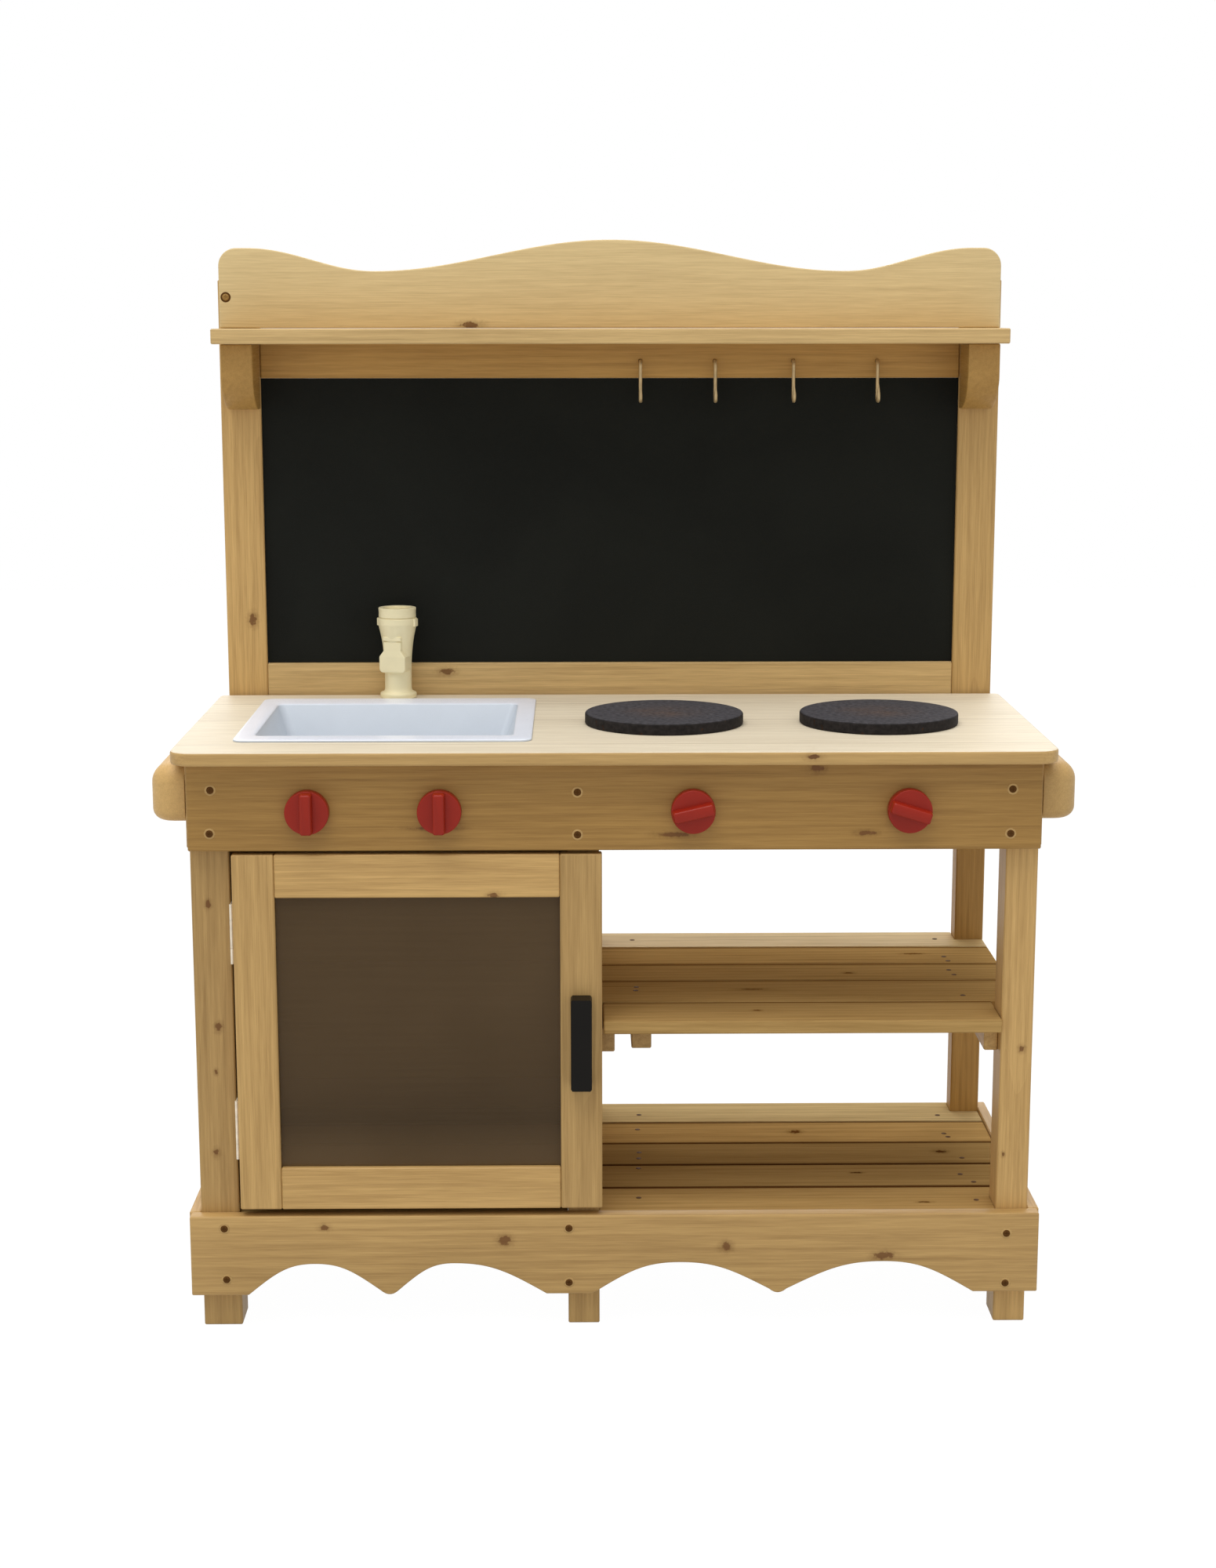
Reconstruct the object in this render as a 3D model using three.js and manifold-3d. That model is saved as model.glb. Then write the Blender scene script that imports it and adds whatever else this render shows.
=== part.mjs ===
// A children's mud kitchen in planed pine. It has a worktop with a lift-out basin, a turning tap and two
// hob plates, a control panel with four turning knobs, a cupboard with a glazed door, two slatted shelves
// and a back frame with a chalkboard, a row of hooks, a top shelf and a waved crest board.
//
// Millimetres, +X to the right, +Y to the back, +Z up. The pieces are placed from the middle of the
// worktop's front edge, at floor level, and the whole is then centred on its footprint.

import * as THREE from 'three';
import { ConvexGeometry } from 'three/addons/geometries/ConvexGeometry.js';
import { mergeVertices } from 'three/addons/utils/BufferGeometryUtils.js';
import Module from 'manifold-3d';

const wasm = await Module();
wasm.setup();

// Clearances, edges and steps that all pieces share
const seatGap = 0.3;
const turningGap = 0.3;
const easedEdge = 1.2;
const cutOverrun = 3;
const cornerSteps = 5;
const roundSteps = 32;
const smallRoundSteps = 16;

// Worktop
const worktopWidth = 900;
const worktopDepth = 391.5;
const worktopTop = 621;
const worktopThickness = 14;
const worktopEdgeRounding = 2.4;
const worktopEdgeSteps = 2;
const worktopFrontRadius = 24;
const worktopRearRadius = 7;

// Carcass: the legs, the boards round them and the planes that they share
const frontInset = 17.5;
const frontBoardThickness = 16;
const worktopOverhang = 15;
const legWidth = 33;
const leftLegWidth = 40.3;
const frontLegDepth = 44;
const backLegDepth = 30;
const middleLegShare = -0.0754;
const rearSlit = 5;
const controlPanelInset = 0.5;
const controlPanelHeight = 90;
const sideApronThickness = 10;
const sidePanelThickness = 7;

// Plinth, with its scalloped lower edge
const plinthOverhang = 10;
const plinthTop = 126;
const plinthHeight = 86.7;
const sidePlinthThickness = 12;
const scallopRise = 34;
const scallopTipReach = 9;
const scallopTipRounding = 4;

// Cupboard
const dividerThickness = 8;
const cabinetBackThickness = 8;
const cabinetBackInset = 3;
const cabinetBoardPitch = 143;
const cabinetFirstJoint = 163;
const jointGrooveWidth = 2.4;
const jointGrooveDepth = 1.6;

// Floor deck: nailed slats on bearers
const deckTop = 124;
const deckSlatThickness = 12;
const deckSlatCount = 5;
const slatJoint = 3;
const deckBearerWidth = 16;
const deckBearerHeight = 26;
const deckRearOverhang = 5;

// Open shelf: separate slats on two cleats and a bearer
const shelfTop = 334;
const shelfSlatThickness = 14;
const shelfFrontInset = 25;
const shelfDoorGap = 1.5;
const shelfCleatHeight = 25.7;
const shelfCleatFront = 50;
const shelfLeftCleatWidth = 16;
const shelfRightCleatWidth = 14.6;
const shelfBearerInset = 34;
const shelfBearerWidth = 21;
const shelfBearerFront = 62;
// Width of each slat from the front to the back, as a share of the shelf's depth
const shelfSlatShares = [0.202, 0.232, 0.185, 0.202, 0.179];

// Door
const doorThickness = 16;
const doorTopGap = 4;
const doorBottomGap = 8;
const doorOverlap = 2.9;
const doorStileWidth = 43;
const doorRailWidth = 45;
const windowThickness = 3;
const windowTongue = 6;
const grooveDepth = 7;

// Hinges of the door
const hingeLength = 63;
const hingeSpread = 210;
const hingeBarrelRadius = 1.8;
const hingePinRadius = 0.8;
const hingeLeafThickness = 1;
const hingeDoorLeafWidth = 21;
const hingeFrameLeafWidth = 18;
const hingeEndKnuckle = 17;
const hingeSlotPlay = 0.2;

// Door handle
const handleLength = 97;
const handleWidth = 21.6;
const handleReach = 20;
const handleBarThickness = 6;
const handleFootLength = 15;
const handleEdge = 1.6;
const handleCentreHeight = 315.7;

// Knobs: the shares place them on the panel's half width,
// and the turns are those of their grips, anticlockwise from upright
const knobRadius = 22.5;
const knobThickness = 12.3;
const knobEdge = 2;
const knobGripLength = 37;
const knobGripWidth = 12.5;
const knobGripHeight = 12;
const knobGripEdge = 1.5;
const knobShaftRadius = 4;
const knobWasherRadius = 8;
const knobWasherThickness = 2.5;
const knobDrop = 48.5;
const knobShares = [-0.718, -0.41, 0.182, 0.688];
const knobGripTurns = [0, 0, -77, 73];

// Basin
const basinLeftMargin = 56.6;
const basinLegClearance = 35.9;
const basinFrontMargin = 63.6;
const basinRearMargin = 42;
const basinSideRim = 19.4;
const basinFrontRim = 32.4;
const basinRearRim = 39.5;
const basinRimThickness = 2.4;
const basinRimRadius = 12;
const basinWall = 3;
const basinDepth = 88;
const basinFloorInset = 30;
const basinOpeningRadius = 8;
const basinFloorRadius = 12;
const basinRimEdge = 1.2;
const cutOutPlay = 2;

// Hob plates
const hobRadius = 85;
const hobThickness = 12;
const hobEdge = 1.5;
const hobBack = 183.6;
// Place of each plate, as a share of the worktop's half width
const hobShares = [0.1222, 0.6356];

// Tap
const tapOffCentre = -4.2;
const tapSetback = 23.3;
const tapTurn = -18;
const tapShankRadius = 8;
const tapNutRadius = 12;
const tapNutThickness = 6;
const tapFlangeRadius = 20.8;
const tapFlangeThickness = 5;
const tapColumnRadius = 15.3;
const tapColumnHeight = 45;
const tapThroatRadius = 17.6;
const tapThroatHeight = 65;
const tapRingRadius = 22;
const tapRingFoot = 82;
const tapRingHeight = 10;
const tapRingEdge = 1.5;
const tapLugReach = 23.6;
const tapLugWidth = 10;
const tapSpoutFoot = 30;
const tapSpoutHeight = 35.5;
const tapSpoutFace = 20.5;
const tapSpoutWidth = 31.6;
const tapSpoutReach = 19;
const tapSpoutTopReach = 17.9;
const tapCapRadius = 21.4;
const tapCapHeight = 11.2;
const tapCapWaist = 20;
const tapCapDishRadius = 16.5;
const tapCapDishDepth = 8;
const tapStemRadius = 8;
const tapStemLength = 11;

// Back frame, with its chalkboard
const frameOverhang = 6;
const frameThickness = 18;
const frameStileWidth = 45;
const frameStileOverShelf = 53.4;
const frameRailSink = 9;
const chalkboardFoot = 36;
const chalkboardHeight = 325;
const chalkboardRecess = 6;
const chalkboardThickness = 6;
const frameTopRailHeight = 45;

// Top shelf and its brackets
const topShelfInset = 2;
const topShelfProjection = 82;
const topShelfThickness = 16.6;
const topShelfLift = 39;
const bracketWidth = 35;
const bracketHeight = 73;
const bracketTopReach = 65;
const bracketFootReach = 15;
const bracketNose = 35;
const bracketCurvePull = 7;

// Crest board: a middle peak, a valley on each side and a plateau at each end
const crestOverShelf = -1.5;
const crestThickness = 16;
const crestHeight = 97.2;
const crestCornerRadius = 20;
const crestEndFlat = 13;
const crestValleyShare = 0.602;
const crestValleyDrop = 34.3;
const crestEndDrop = 9;
const crestSteps = 14;

// Hooks in the top rail of the back frame
const hookWireRadius = 2;
const hookShankLength = 11.5;
const hookHoleDepth = 12.5;
const hookLift = 19;
const hookDrop = 38;
const hookNeck = 8;
const hookBend = 7;
const hookTipRise = 14;
const hookSteps = 20;
// Place of each hook, as a share of the top rail's half width
const hookShares = [0.086, 0.2995, 0.523, 0.763];

// Side rails
const sideRailReach = 36.3;
const sideRailHeight = 59.3;
const sideRailRounding = 15;
const sideRailCornerRadius = 24;
const sideRailTopGap = 4.5;
const sideRailFront = 34;
const sideRailRearInset = 6.2;
const sideRailSteps = 4;

// Finishes
const finish = (color, roughness, metalness = 0, rest = {}) => (
  new THREE.MeshStandardMaterial({ color, roughness, metalness, ...rest })
);
const pine = finish('#c6a26a', 0.6);
const palePine = finish('#e6d8b8', 0.55);
const board = finish('#1c1b19', 0.85);
const redPlastic = finish('#be2d23', 0.4);
const creamPlastic = finish('#e1d7a5', 0.4);
const bluePlastic = finish('#d4dce6', 0.35);
const hobBlack = finish('#2d2d32', 0.8);
const smokedPane = finish('#4b3e30', 0.15, 0, { transparent: true, opacity: 0.6 });
const zinc = finish('#d8d2c8', 0.3, 1);
const blackPlastic = finish('#1c1a16', 0.45);

// Shared planes and heights, worked out from the sizes above
const worktopFoot = worktopTop - worktopThickness;
const carcassHead = worktopFoot - seatGap;
const panelFoot = carcassHead - controlPanelHeight;
const frontBoards = [frontInset, frontInset + frontBoardThickness];
const legFront = frontBoards[1] + seatGap;
const frameFront = worktopDepth + rearSlit;
const legRear = frameFront - seatGap;
const carcassSide = worktopWidth / 2 - worktopOverhang;
const middleLegCentre = middleLegShare * carcassSide;
const apronSeat = carcassSide - sidePanelThickness - seatGap;
const plinthFoot = plinthTop - plinthHeight;

const frontLegs = [legFront, legFront + frontLegDepth];
const backLegs = [legRear - backLegDepth, legRear];
const leftLeg = [-carcassSide, -carcassSide + leftLegWidth];
const middleLeg = [middleLegCentre - legWidth / 2, middleLegCentre + legWidth / 2];
const rightLeg = [carcassSide - legWidth, carcassSide];

/** A solid box between two limits on each axis. */
function box(xs, ys, zs) {
  const size = [xs, ys, zs].map(([low, high]) => high - low);
  const middle = [xs, ys, zs].map(([low, high]) => (low + high) / 2);
  return new THREE.BoxGeometry(...size).translate(...middle);
}

/** A planed board between two limits on each axis, with all its edges eased. */
function planed(xs, ys, zs, ease = easedEdge) {
  const half = new THREE.Vector3(...[xs, ys, zs].map(([low, high]) => (high - low) / 2));
  const points = [];
  for (const x of [-1, 1]) {
    for (const y of [-1, 1]) {
      for (const z of [-1, 1]) {
        for (const axis of ['x', 'y', 'z']) {
          const corner = half.clone().subScalar(ease);
          corner[axis] = half[axis];
          points.push(corner.multiply(new THREE.Vector3(x, y, z)));
        }
      }
    }
  }
  const middle = [xs, ys, zs].map(([low, high]) => (low + high) / 2);
  return new ConvexGeometry(points).translate(...middle);
}

/** An outline given a thickness, with its edges rounded over by ease. */
function thicken(outline, thickness, ease, easeSteps = 1) {
  const geometry = new THREE.ExtrudeGeometry(outline, {
    depth: thickness - 2 * ease,
    curveSegments: cornerSteps,
    bevelEnabled: ease > 0,
    bevelThickness: ease,
    bevelSize: ease,
    bevelOffset: -ease,
    bevelSegments: easeSteps,
  });
  return geometry.translate(0, 0, ease);
}

const acrossAxis = new THREE.Vector3(1, 0, 0);
const depthAxis = new THREE.Vector3(0, 1, 0);
const upAxis = new THREE.Vector3(0, 0, 1);

/** An outline drawn across and up, given its thickness between two depths. */
function facingFront(outline, [front, back], ease = easedEdge) {
  const turn = new THREE.Matrix4().makeBasis(acrossAxis, upAxis, depthAxis.clone().negate());
  return thicken(outline, back - front, ease).applyMatrix4(turn).translate(0, back, 0);
}

/** An outline drawn backwards and up, given its thickness between two places across. */
function facingSide(outline, [left, right], ease = easedEdge) {
  const turn = new THREE.Matrix4().makeBasis(depthAxis, upAxis, acrossAxis);
  return thicken(outline, right - left, ease).applyMatrix4(turn).translate(left, 0, 0);
}

/** A cylinder along an axis, between two places on it, round a centre in the other two. */
function rod(axis, centre, radius, [low, high], steps = smallRoundSteps) {
  const geometry = new THREE.CylinderGeometry(radius, radius, high - low, steps);
  geometry.applyQuaternion(new THREE.Quaternion().setFromUnitVectors(depthAxis, axis));
  return geometry.translate(...axis.clone().multiplyScalar((low + high) / 2).add(centre).toArray());
}

/** A profile of [radius, height] pairs, from the lower axis point to the upper one, turned about Z. */
function turned(profile, steps = roundSteps) {
  const points = profile.map(([radius, height]) => new THREE.Vector2(radius, height));
  return new THREE.LatheGeometry(points, steps).rotateX(Math.PI / 2);
}

/** The library's solid of a closed geometry. */
function solidOf(geometry) {
  const bare = geometry.clone();
  bare.deleteAttribute('normal');
  bare.deleteAttribute('uv');
  const merged = mergeVertices(bare);
  return new wasm.Manifold(new wasm.Mesh({
    numProp: 3,
    vertProperties: new Float32Array(merged.attributes.position.array),
    triVerts: new Uint32Array(merged.index.array),
  }));
}

/** The geometry of one of the library's solids. */
function geometryOf(solid) {
  const { vertProperties, triVerts } = solid.getMesh();
  const geometry = new THREE.BufferGeometry();
  geometry.setAttribute('position', new THREE.BufferAttribute(vertProperties, 3));
  geometry.setIndex(new THREE.BufferAttribute(triVerts, 1));
  geometry.computeVertexNormals();
  return geometry;
}

const join = (...pieces) => geometryOf(pieces.map(solidOf).reduce((whole, piece) => whole.add(piece)));
const cut = (piece, ...tools) => (
  geometryOf(tools.map(solidOf).reduce((rest, tool) => rest.subtract(tool), solidOf(piece)))
);

const middleOf = ([low, high]) => (low + high) / 2;

/** A limit pair made longer at both ends. */
const grown = ([low, high], by) => [low - by, high + by];

/** A rectangle with rounded corners, as an outline or as a hole. */
function roundedRectangle([left, right], [near, far], nearRadius, farRadius, Kind = THREE.Shape) {
  const outline = new Kind();
  const quarter = Math.PI / 2;
  outline.absarc(right - nearRadius, near + nearRadius, nearRadius, -quarter, 0);
  outline.absarc(right - farRadius, far - farRadius, farRadius, 0, quarter);
  outline.absarc(left + farRadius, far - farRadius, farRadius, quarter, 2 * quarter);
  outline.absarc(left + nearRadius, near + nearRadius, nearRadius, 2 * quarter, 3 * quarter);
  outline.closePath();
  return outline;
}

const kitchen = new THREE.Group();

/** Adds a named piece to a group, at a place in it. */
function add(name, geometry, material, group = kitchen, place = [0, 0, 0]) {
  const mesh = new THREE.Mesh(geometry, material);
  mesh.name = name;
  mesh.position.set(...place);
  group.add(mesh);
  return mesh;
}

// Legs. The outer pairs are housed for the side aprons.
const housing = (across) => box(across, grown([0, legRear], cutOverrun),
  [panelFoot - seatGap, carcassHead + cutOverrun]);
const leftHousing = housing([-carcassSide - cutOverrun, -apronSeat]);
const rightHousing = housing([apronSeat, carcassSide + cutOverrun]);
for (const [row, depth] of [['front', frontLegs], ['back', backLegs]]) {
  add(`leg_${row}_left`, cut(planed(leftLeg, depth, [0, carcassHead]), leftHousing), pine);
  add(`leg_${row}_middle`, planed(middleLeg, depth, [0, carcassHead]), pine);
  add(`leg_${row}_right`, cut(planed(rightLeg, depth, [0, carcassHead]), rightHousing), pine);
}

// Control panel and aprons under the worktop
const panelSide = carcassSide - controlPanelInset;
const panelSpan = [-panelSide, panelSide];
const knobHeight = carcassHead - knobDrop;
const knobPlaces = knobShares.map((share) => share * panelSide);
const shaftHoles = knobPlaces.map((across) => rod(depthAxis, new THREE.Vector3(across, 0, knobHeight),
  knobShaftRadius + turningGap, grown(frontBoards, cutOverrun)));
add('control_panel', cut(planed(panelSpan, frontBoards, [panelFoot, carcassHead]), ...shaftHoles), pine);

const apronDepth = [legFront, legRear];
const apronHeights = [panelFoot, carcassHead];
const apronInner = apronSeat + seatGap;
const apronOuter = apronInner + sideApronThickness;
add('side_apron_left', planed([-apronOuter, -apronInner], apronDepth, apronHeights), pine);
add('side_apron_right', planed([apronInner, apronOuter], apronDepth, apronHeights), pine);

// Back frame
const frameDepth = [frameFront, frameFront + frameThickness];
const frameSide = carcassSide + frameOverhang;
const frameInner = frameSide - frameStileWidth;
const frameInside = [-frameInner + seatGap, frameInner - seatGap];
const boardFoot = worktopTop + chalkboardFoot;
const boardHead = boardFoot + chalkboardHeight;
const topShelfFoot = boardHead + topShelfLift;
const topShelfHead = topShelfFoot + topShelfThickness;
const bottomRailFoot = worktopTop - frameRailSink;
const stileHeights = [panelFoot, topShelfHead + frameStileOverShelf];
add('frame_stile_left', planed([-frameSide, -frameInner], frameDepth, stileHeights), pine);
add('frame_stile_right', planed([frameInner, frameSide], frameDepth, stileHeights), pine);
add('frame_rail_bottom', planed(frameInside, frameDepth, [bottomRailFoot, boardFoot]), pine);

const hookHeight = boardHead + hookLift;
const hookPlaces = hookShares.map((share) => share * frameInner);
const hookHoles = hookPlaces.map((across) => rod(depthAxis, new THREE.Vector3(across, 0, hookHeight),
  hookWireRadius + seatGap, [frameFront - cutOverrun, frameFront + hookHoleDepth]));
const topRail = planed(frameInside, frameDepth, [boardHead, boardHead + frameTopRailHeight]);
add('frame_rail_top', cut(topRail, ...hookHoles), pine);

const boardFront = frameFront + chalkboardRecess;
add('chalkboard', box(frameInside, [boardFront, boardFront + chalkboardThickness],
  [boardFoot + seatGap, boardHead - seatGap]), board);
add('rear_apron', planed(frameInside, frameDepth, [panelFoot, bottomRailFoot - seatGap]), pine);

// Top shelf on its two brackets
const topShelfSide = frameSide - topShelfInset;
const topShelfDepth = [frameFront - topShelfProjection, legRear];
add('top_shelf', planed([-topShelfSide, topShelfSide], topShelfDepth, [topShelfFoot, topShelfHead]), pine);

const bracketHead = topShelfFoot - seatGap;
const bracketOutline = new THREE.Shape();
bracketOutline.moveTo(legRear, bracketHead);
bracketOutline.lineTo(legRear - bracketTopReach, bracketHead);
bracketOutline.lineTo(legRear - bracketTopReach, bracketHead - bracketNose);
bracketOutline.quadraticCurveTo(legRear - bracketTopReach + bracketCurvePull,
  bracketHead - bracketHeight + bracketCurvePull, legRear - bracketFootReach, bracketHead - bracketHeight);
bracketOutline.lineTo(legRear, bracketHead - bracketHeight);
bracketOutline.closePath();
add('bracket_left', facingSide(bracketOutline, [-frameInner - bracketWidth, -frameInner]), pine);
add('bracket_right', facingSide(bracketOutline, [frameInner, frameInner + bracketWidth]), pine);

// Crest board: its upper edge falls from the peak to the valley and rises to the end,
// each by half a cosine wave
const crestSide = topShelfSide + crestOverShelf;
const crestHead = topShelfHead + crestHeight;
const crestFoot = topShelfHead + seatGap;
const crestEndStart = crestSide - crestCornerRadius - crestEndFlat;
const crestValleyAcross = crestSide * crestValleyShare;
const wave = (share) => (1 - Math.cos(Math.PI * share)) / 2;

function crestEdge(across) {
  const distance = Math.abs(across);
  if (distance <= crestValleyAcross) {
    return crestHead - crestValleyDrop * wave(distance / crestValleyAcross);
  }
  const share = (distance - crestValleyAcross) / (crestEndStart - crestValleyAcross);
  return crestHead - crestValleyDrop + (crestValleyDrop - crestEndDrop) * wave(share);
}

function crestOutline() {
  const shares = Array.from({ length: crestSteps + 1 }, (_, step) => step / crestSteps);
  const half = [
    ...shares.map((share) => share * crestValleyAcross),
    ...shares.slice(1).map((share) => crestValleyAcross + share * (crestEndStart - crestValleyAcross)),
  ];
  const ends = crestHead - crestEndDrop;
  const outline = new THREE.Shape();
  outline.moveTo(-crestSide, crestFoot);
  outline.lineTo(crestSide, crestFoot);
  outline.absarc(crestSide - crestCornerRadius, ends - crestCornerRadius, crestCornerRadius, 0, Math.PI / 2);
  half.toReversed().forEach((across) => outline.lineTo(across, crestEdge(across)));
  half.slice(1).forEach((across) => outline.lineTo(-across, crestEdge(-across)));
  outline.absarc(crestCornerRadius - crestSide, ends - crestCornerRadius, crestCornerRadius,
    Math.PI / 2, Math.PI);
  outline.closePath();
  return outline;
}

add('crest_board', facingFront(crestOutline(), [legRear - crestThickness, legRear]), pine);

// Hooks: a shank in the rail, a neck, a straight drop and a half round with an upright tip
const hookBack = -hookNeck;
const hookFoot = -hookDrop;
const hookPath = new THREE.CurvePath();
const hookPoint = (back, up) => new THREE.Vector3(0, back, up);
hookPath.add(new THREE.LineCurve3(hookPoint(hookShankLength, 0), hookPoint(hookBack + hookBend, 0)));
hookPath.add(new THREE.QuadraticBezierCurve3(hookPoint(hookBack + hookBend, 0), hookPoint(hookBack, 0),
  hookPoint(hookBack, -hookBend)));
hookPath.add(new THREE.LineCurve3(hookPoint(hookBack, -hookBend), hookPoint(hookBack, hookFoot)));
const hookTip = hookBack - 2 * hookBend;
const bendPull = 4 / 3 * hookBend;
hookPath.add(new THREE.CubicBezierCurve3(hookPoint(hookBack, hookFoot),
  hookPoint(hookBack, hookFoot - bendPull), hookPoint(hookTip, hookFoot - bendPull),
  hookPoint(hookTip, hookFoot)));
hookPath.add(new THREE.LineCurve3(hookPoint(hookTip, hookFoot), hookPoint(hookTip, hookFoot + hookTipRise)));
const hookWire = new THREE.Shape().absarc(0, 0, hookWireRadius, 0, 2 * Math.PI);
hookPlaces.forEach((across, index) => {
  const wire = new THREE.ExtrudeGeometry(hookWire, {
    steps: hookSteps,
    curveSegments: cornerSteps,
    extrudePath: hookPath,
  });
  add(`hook_${index + 1}`, wire, zinc, kitchen, [across, frameFront, hookHeight]);
});

// Plinth round the foot, with two pairs of scallops in its front board.
// The shares are of the front plinth's half width: where each scallop starts, peaks and ends.
const scallopShares = [
  { start: -0.866, peak: -0.709, end: -0.533, endTip: true },
  { start: -0.533, peak: -0.381, end: -0.162, startTip: true },
  { start: -0.053, peak: 0.151, end: 0.385, endTip: true },
  { start: 0.385, peak: 0.633, end: 0.848, startTip: true },
];
const archLeadShare = 0.42;
const archLiftShare = 0.72;
const archCrownShare = 0.4;

function plinthOutline() {
  const side = carcassSide + plinthOverhang;
  const crown = plinthFoot + scallopRise;
  const outline = new THREE.Shape();
  outline.moveTo(-side, plinthTop);
  outline.lineTo(-side, plinthFoot);
  for (const { start, peak, end, startTip = false, endTip = false } of scallopShares) {
    const [from, top, to] = [start, peak, end].map((share) => share * side);
    const entry = from + (startTip ? scallopTipReach : 0);
    const entryHeight = plinthFoot + (startTip ? scallopTipRounding : 0);
    const exit = to - (endTip ? scallopTipReach : 0);
    const exitHeight = plinthFoot + (endTip ? scallopTipRounding : 0);
    if (!startTip) {
      outline.lineTo(entry, entryHeight);
    }
    const [rise, fall] = [top - entry, exit - top];
    outline.bezierCurveTo(entry + archLeadShare * rise, entryHeight + archLiftShare * (crown - entryHeight),
      top - archCrownShare * rise, crown, top, crown);
    outline.bezierCurveTo(top + archCrownShare * fall, crown,
      exit - archLeadShare * fall, exitHeight + archLiftShare * (crown - exitHeight), exit, exitHeight);
    if (endTip) {
      outline.quadraticCurveTo(to, plinthFoot - scallopTipRounding, to + scallopTipReach, exitHeight);
    }
  }
  outline.lineTo(side, plinthFoot);
  outline.lineTo(side, plinthTop);
  outline.closePath();
  return outline;
}

add('plinth_front', facingFront(plinthOutline(), frontBoards), pine);
const sidePlinthInner = carcassSide + seatGap;
const sidePlinthOuter = sidePlinthInner + sidePlinthThickness;
const plinthHeights = [plinthFoot, plinthTop];
add('side_plinth_left', planed([-sidePlinthOuter, -sidePlinthInner], apronDepth, plinthHeights), pine);
add('side_plinth_right', planed([sidePlinthInner, sidePlinthOuter], apronDepth, plinthHeights), pine);

// Floor deck: slats from side to side, nailed to three bearers and notched round the legs
const deckFoot = deckTop - deckSlatThickness;
const deckSpan = [-carcassSide, carcassSide];
const deckDepth = [legFront, legRear + deckRearOverhang];
const deckPitch = (deckDepth[1] - deckDepth[0] + slatJoint) / deckSlatCount;
const deckSlats = Array.from({ length: deckSlatCount }, (_, index) => {
  const front = deckDepth[0] + index * deckPitch;
  return planed(deckSpan, [front, front + deckPitch - slatJoint], [deckFoot, deckTop]);
});
const bearerHeights = [deckFoot - deckBearerHeight, deckFoot + easedEdge];
const bearerSpans = [
  [leftLeg[1] + seatGap, leftLeg[1] + seatGap + deckBearerWidth],
  [middleLeg[1] + seatGap, middleLeg[1] + seatGap + deckBearerWidth],
  [rightLeg[0] - seatGap - deckBearerWidth, rightLeg[0] - seatGap],
];
const deckBearers = bearerSpans.map((span) => box(span, apronDepth, bearerHeights));
const deckNotches = [leftLeg, middleLeg, rightLeg].flatMap((leg) => [frontLegs, backLegs].map((depth) => (
  box(grown(leg, seatGap), grown(depth, seatGap), grown([deckFoot, deckTop], cutOverrun))
)));
add('floor_deck', cut(join(...deckSlats, ...deckBearers), ...deckNotches), pine);

// Cupboard: a boarded side between the left-hand legs, a divider between the middle legs and a boarded back
const cabinetFoot = deckTop + seatGap;
const cabinetBackDepth = [legRear - cabinetBackInset - cabinetBackThickness, legRear - cabinetBackInset];
const jointCount = Math.ceil((carcassHead - cabinetFirstJoint) / cabinetBoardPitch - 1 / 2);
const jointHeights = Array.from({ length: jointCount }, (_, index) => (
  cabinetFirstJoint + index * cabinetBoardPitch
));

/** The cuts for a row of board joints in both faces of a panel that stands in a given direction. */
function boardJoints(heights, faces, make) {
  return heights.flatMap((height) => faces.map((face) => (
    make(grown([face, face], jointGrooveDepth), grown([height, height], jointGrooveWidth / 2))
  )));
}

const sidePanelSpan = [-carcassSide, -carcassSide + sidePanelThickness];
const sideJointHeights = jointHeights.filter((height) => height < panelFoot - jointGrooveWidth);
const betweenLegs = [frontLegs[1] + seatGap, backLegs[0] - seatGap];
const sideJoints = boardJoints(sideJointHeights, sidePanelSpan,
  (across, up) => box(across, grown(betweenLegs, cutOverrun), up));
const sidePanel = planed(sidePanelSpan, betweenLegs, [cabinetFoot, panelFoot - seatGap]);
add('cabinet_side_panel', cut(sidePanel, ...sideJoints), pine);
const dividerSpan = [middleLegCentre - dividerThickness / 2, middleLegCentre + dividerThickness / 2];
add('cabinet_divider', planed(dividerSpan, betweenLegs, [cabinetFoot, carcassHead]), pine);
const cabinetInside = [leftLeg[1] + seatGap, middleLeg[0] - seatGap];
const backJoints = boardJoints(jointHeights, cabinetBackDepth,
  (depth, up) => box(grown(cabinetInside, cutOverrun), depth, up));
const backPanel = planed(cabinetInside, cabinetBackDepth, [cabinetFoot, carcassHead]);
add('cabinet_back_panel', cut(backPanel, ...backJoints), pine);

// Open shelf. The front slat stops short of the door and of the front leg;
// the back one is notched round its leg.
const shelfFoot = shelfTop - shelfSlatThickness;
const cleatHeights = [shelfFoot - seatGap - shelfCleatHeight, shelfFoot - seatGap];
const leftCleat = [middleLeg[1] + seatGap, middleLeg[1] + seatGap + shelfLeftCleatWidth];
const rightCleat = [rightLeg[0] - seatGap - shelfRightCleatWidth, rightLeg[0] - seatGap];
const shelfBearer = [middleLeg[1] + shelfBearerInset, middleLeg[1] + shelfBearerInset + shelfBearerWidth];
const cleatDepth = [shelfCleatFront, legRear];
add('shelf_cleat_left', planed(leftCleat, cleatDepth, cleatHeights), pine);
add('shelf_cleat_right', planed(rightCleat, cleatDepth, cleatHeights), pine);
add('shelf_bearer', planed(shelfBearer, [shelfBearerFront, legRear], cleatHeights), pine);

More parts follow.
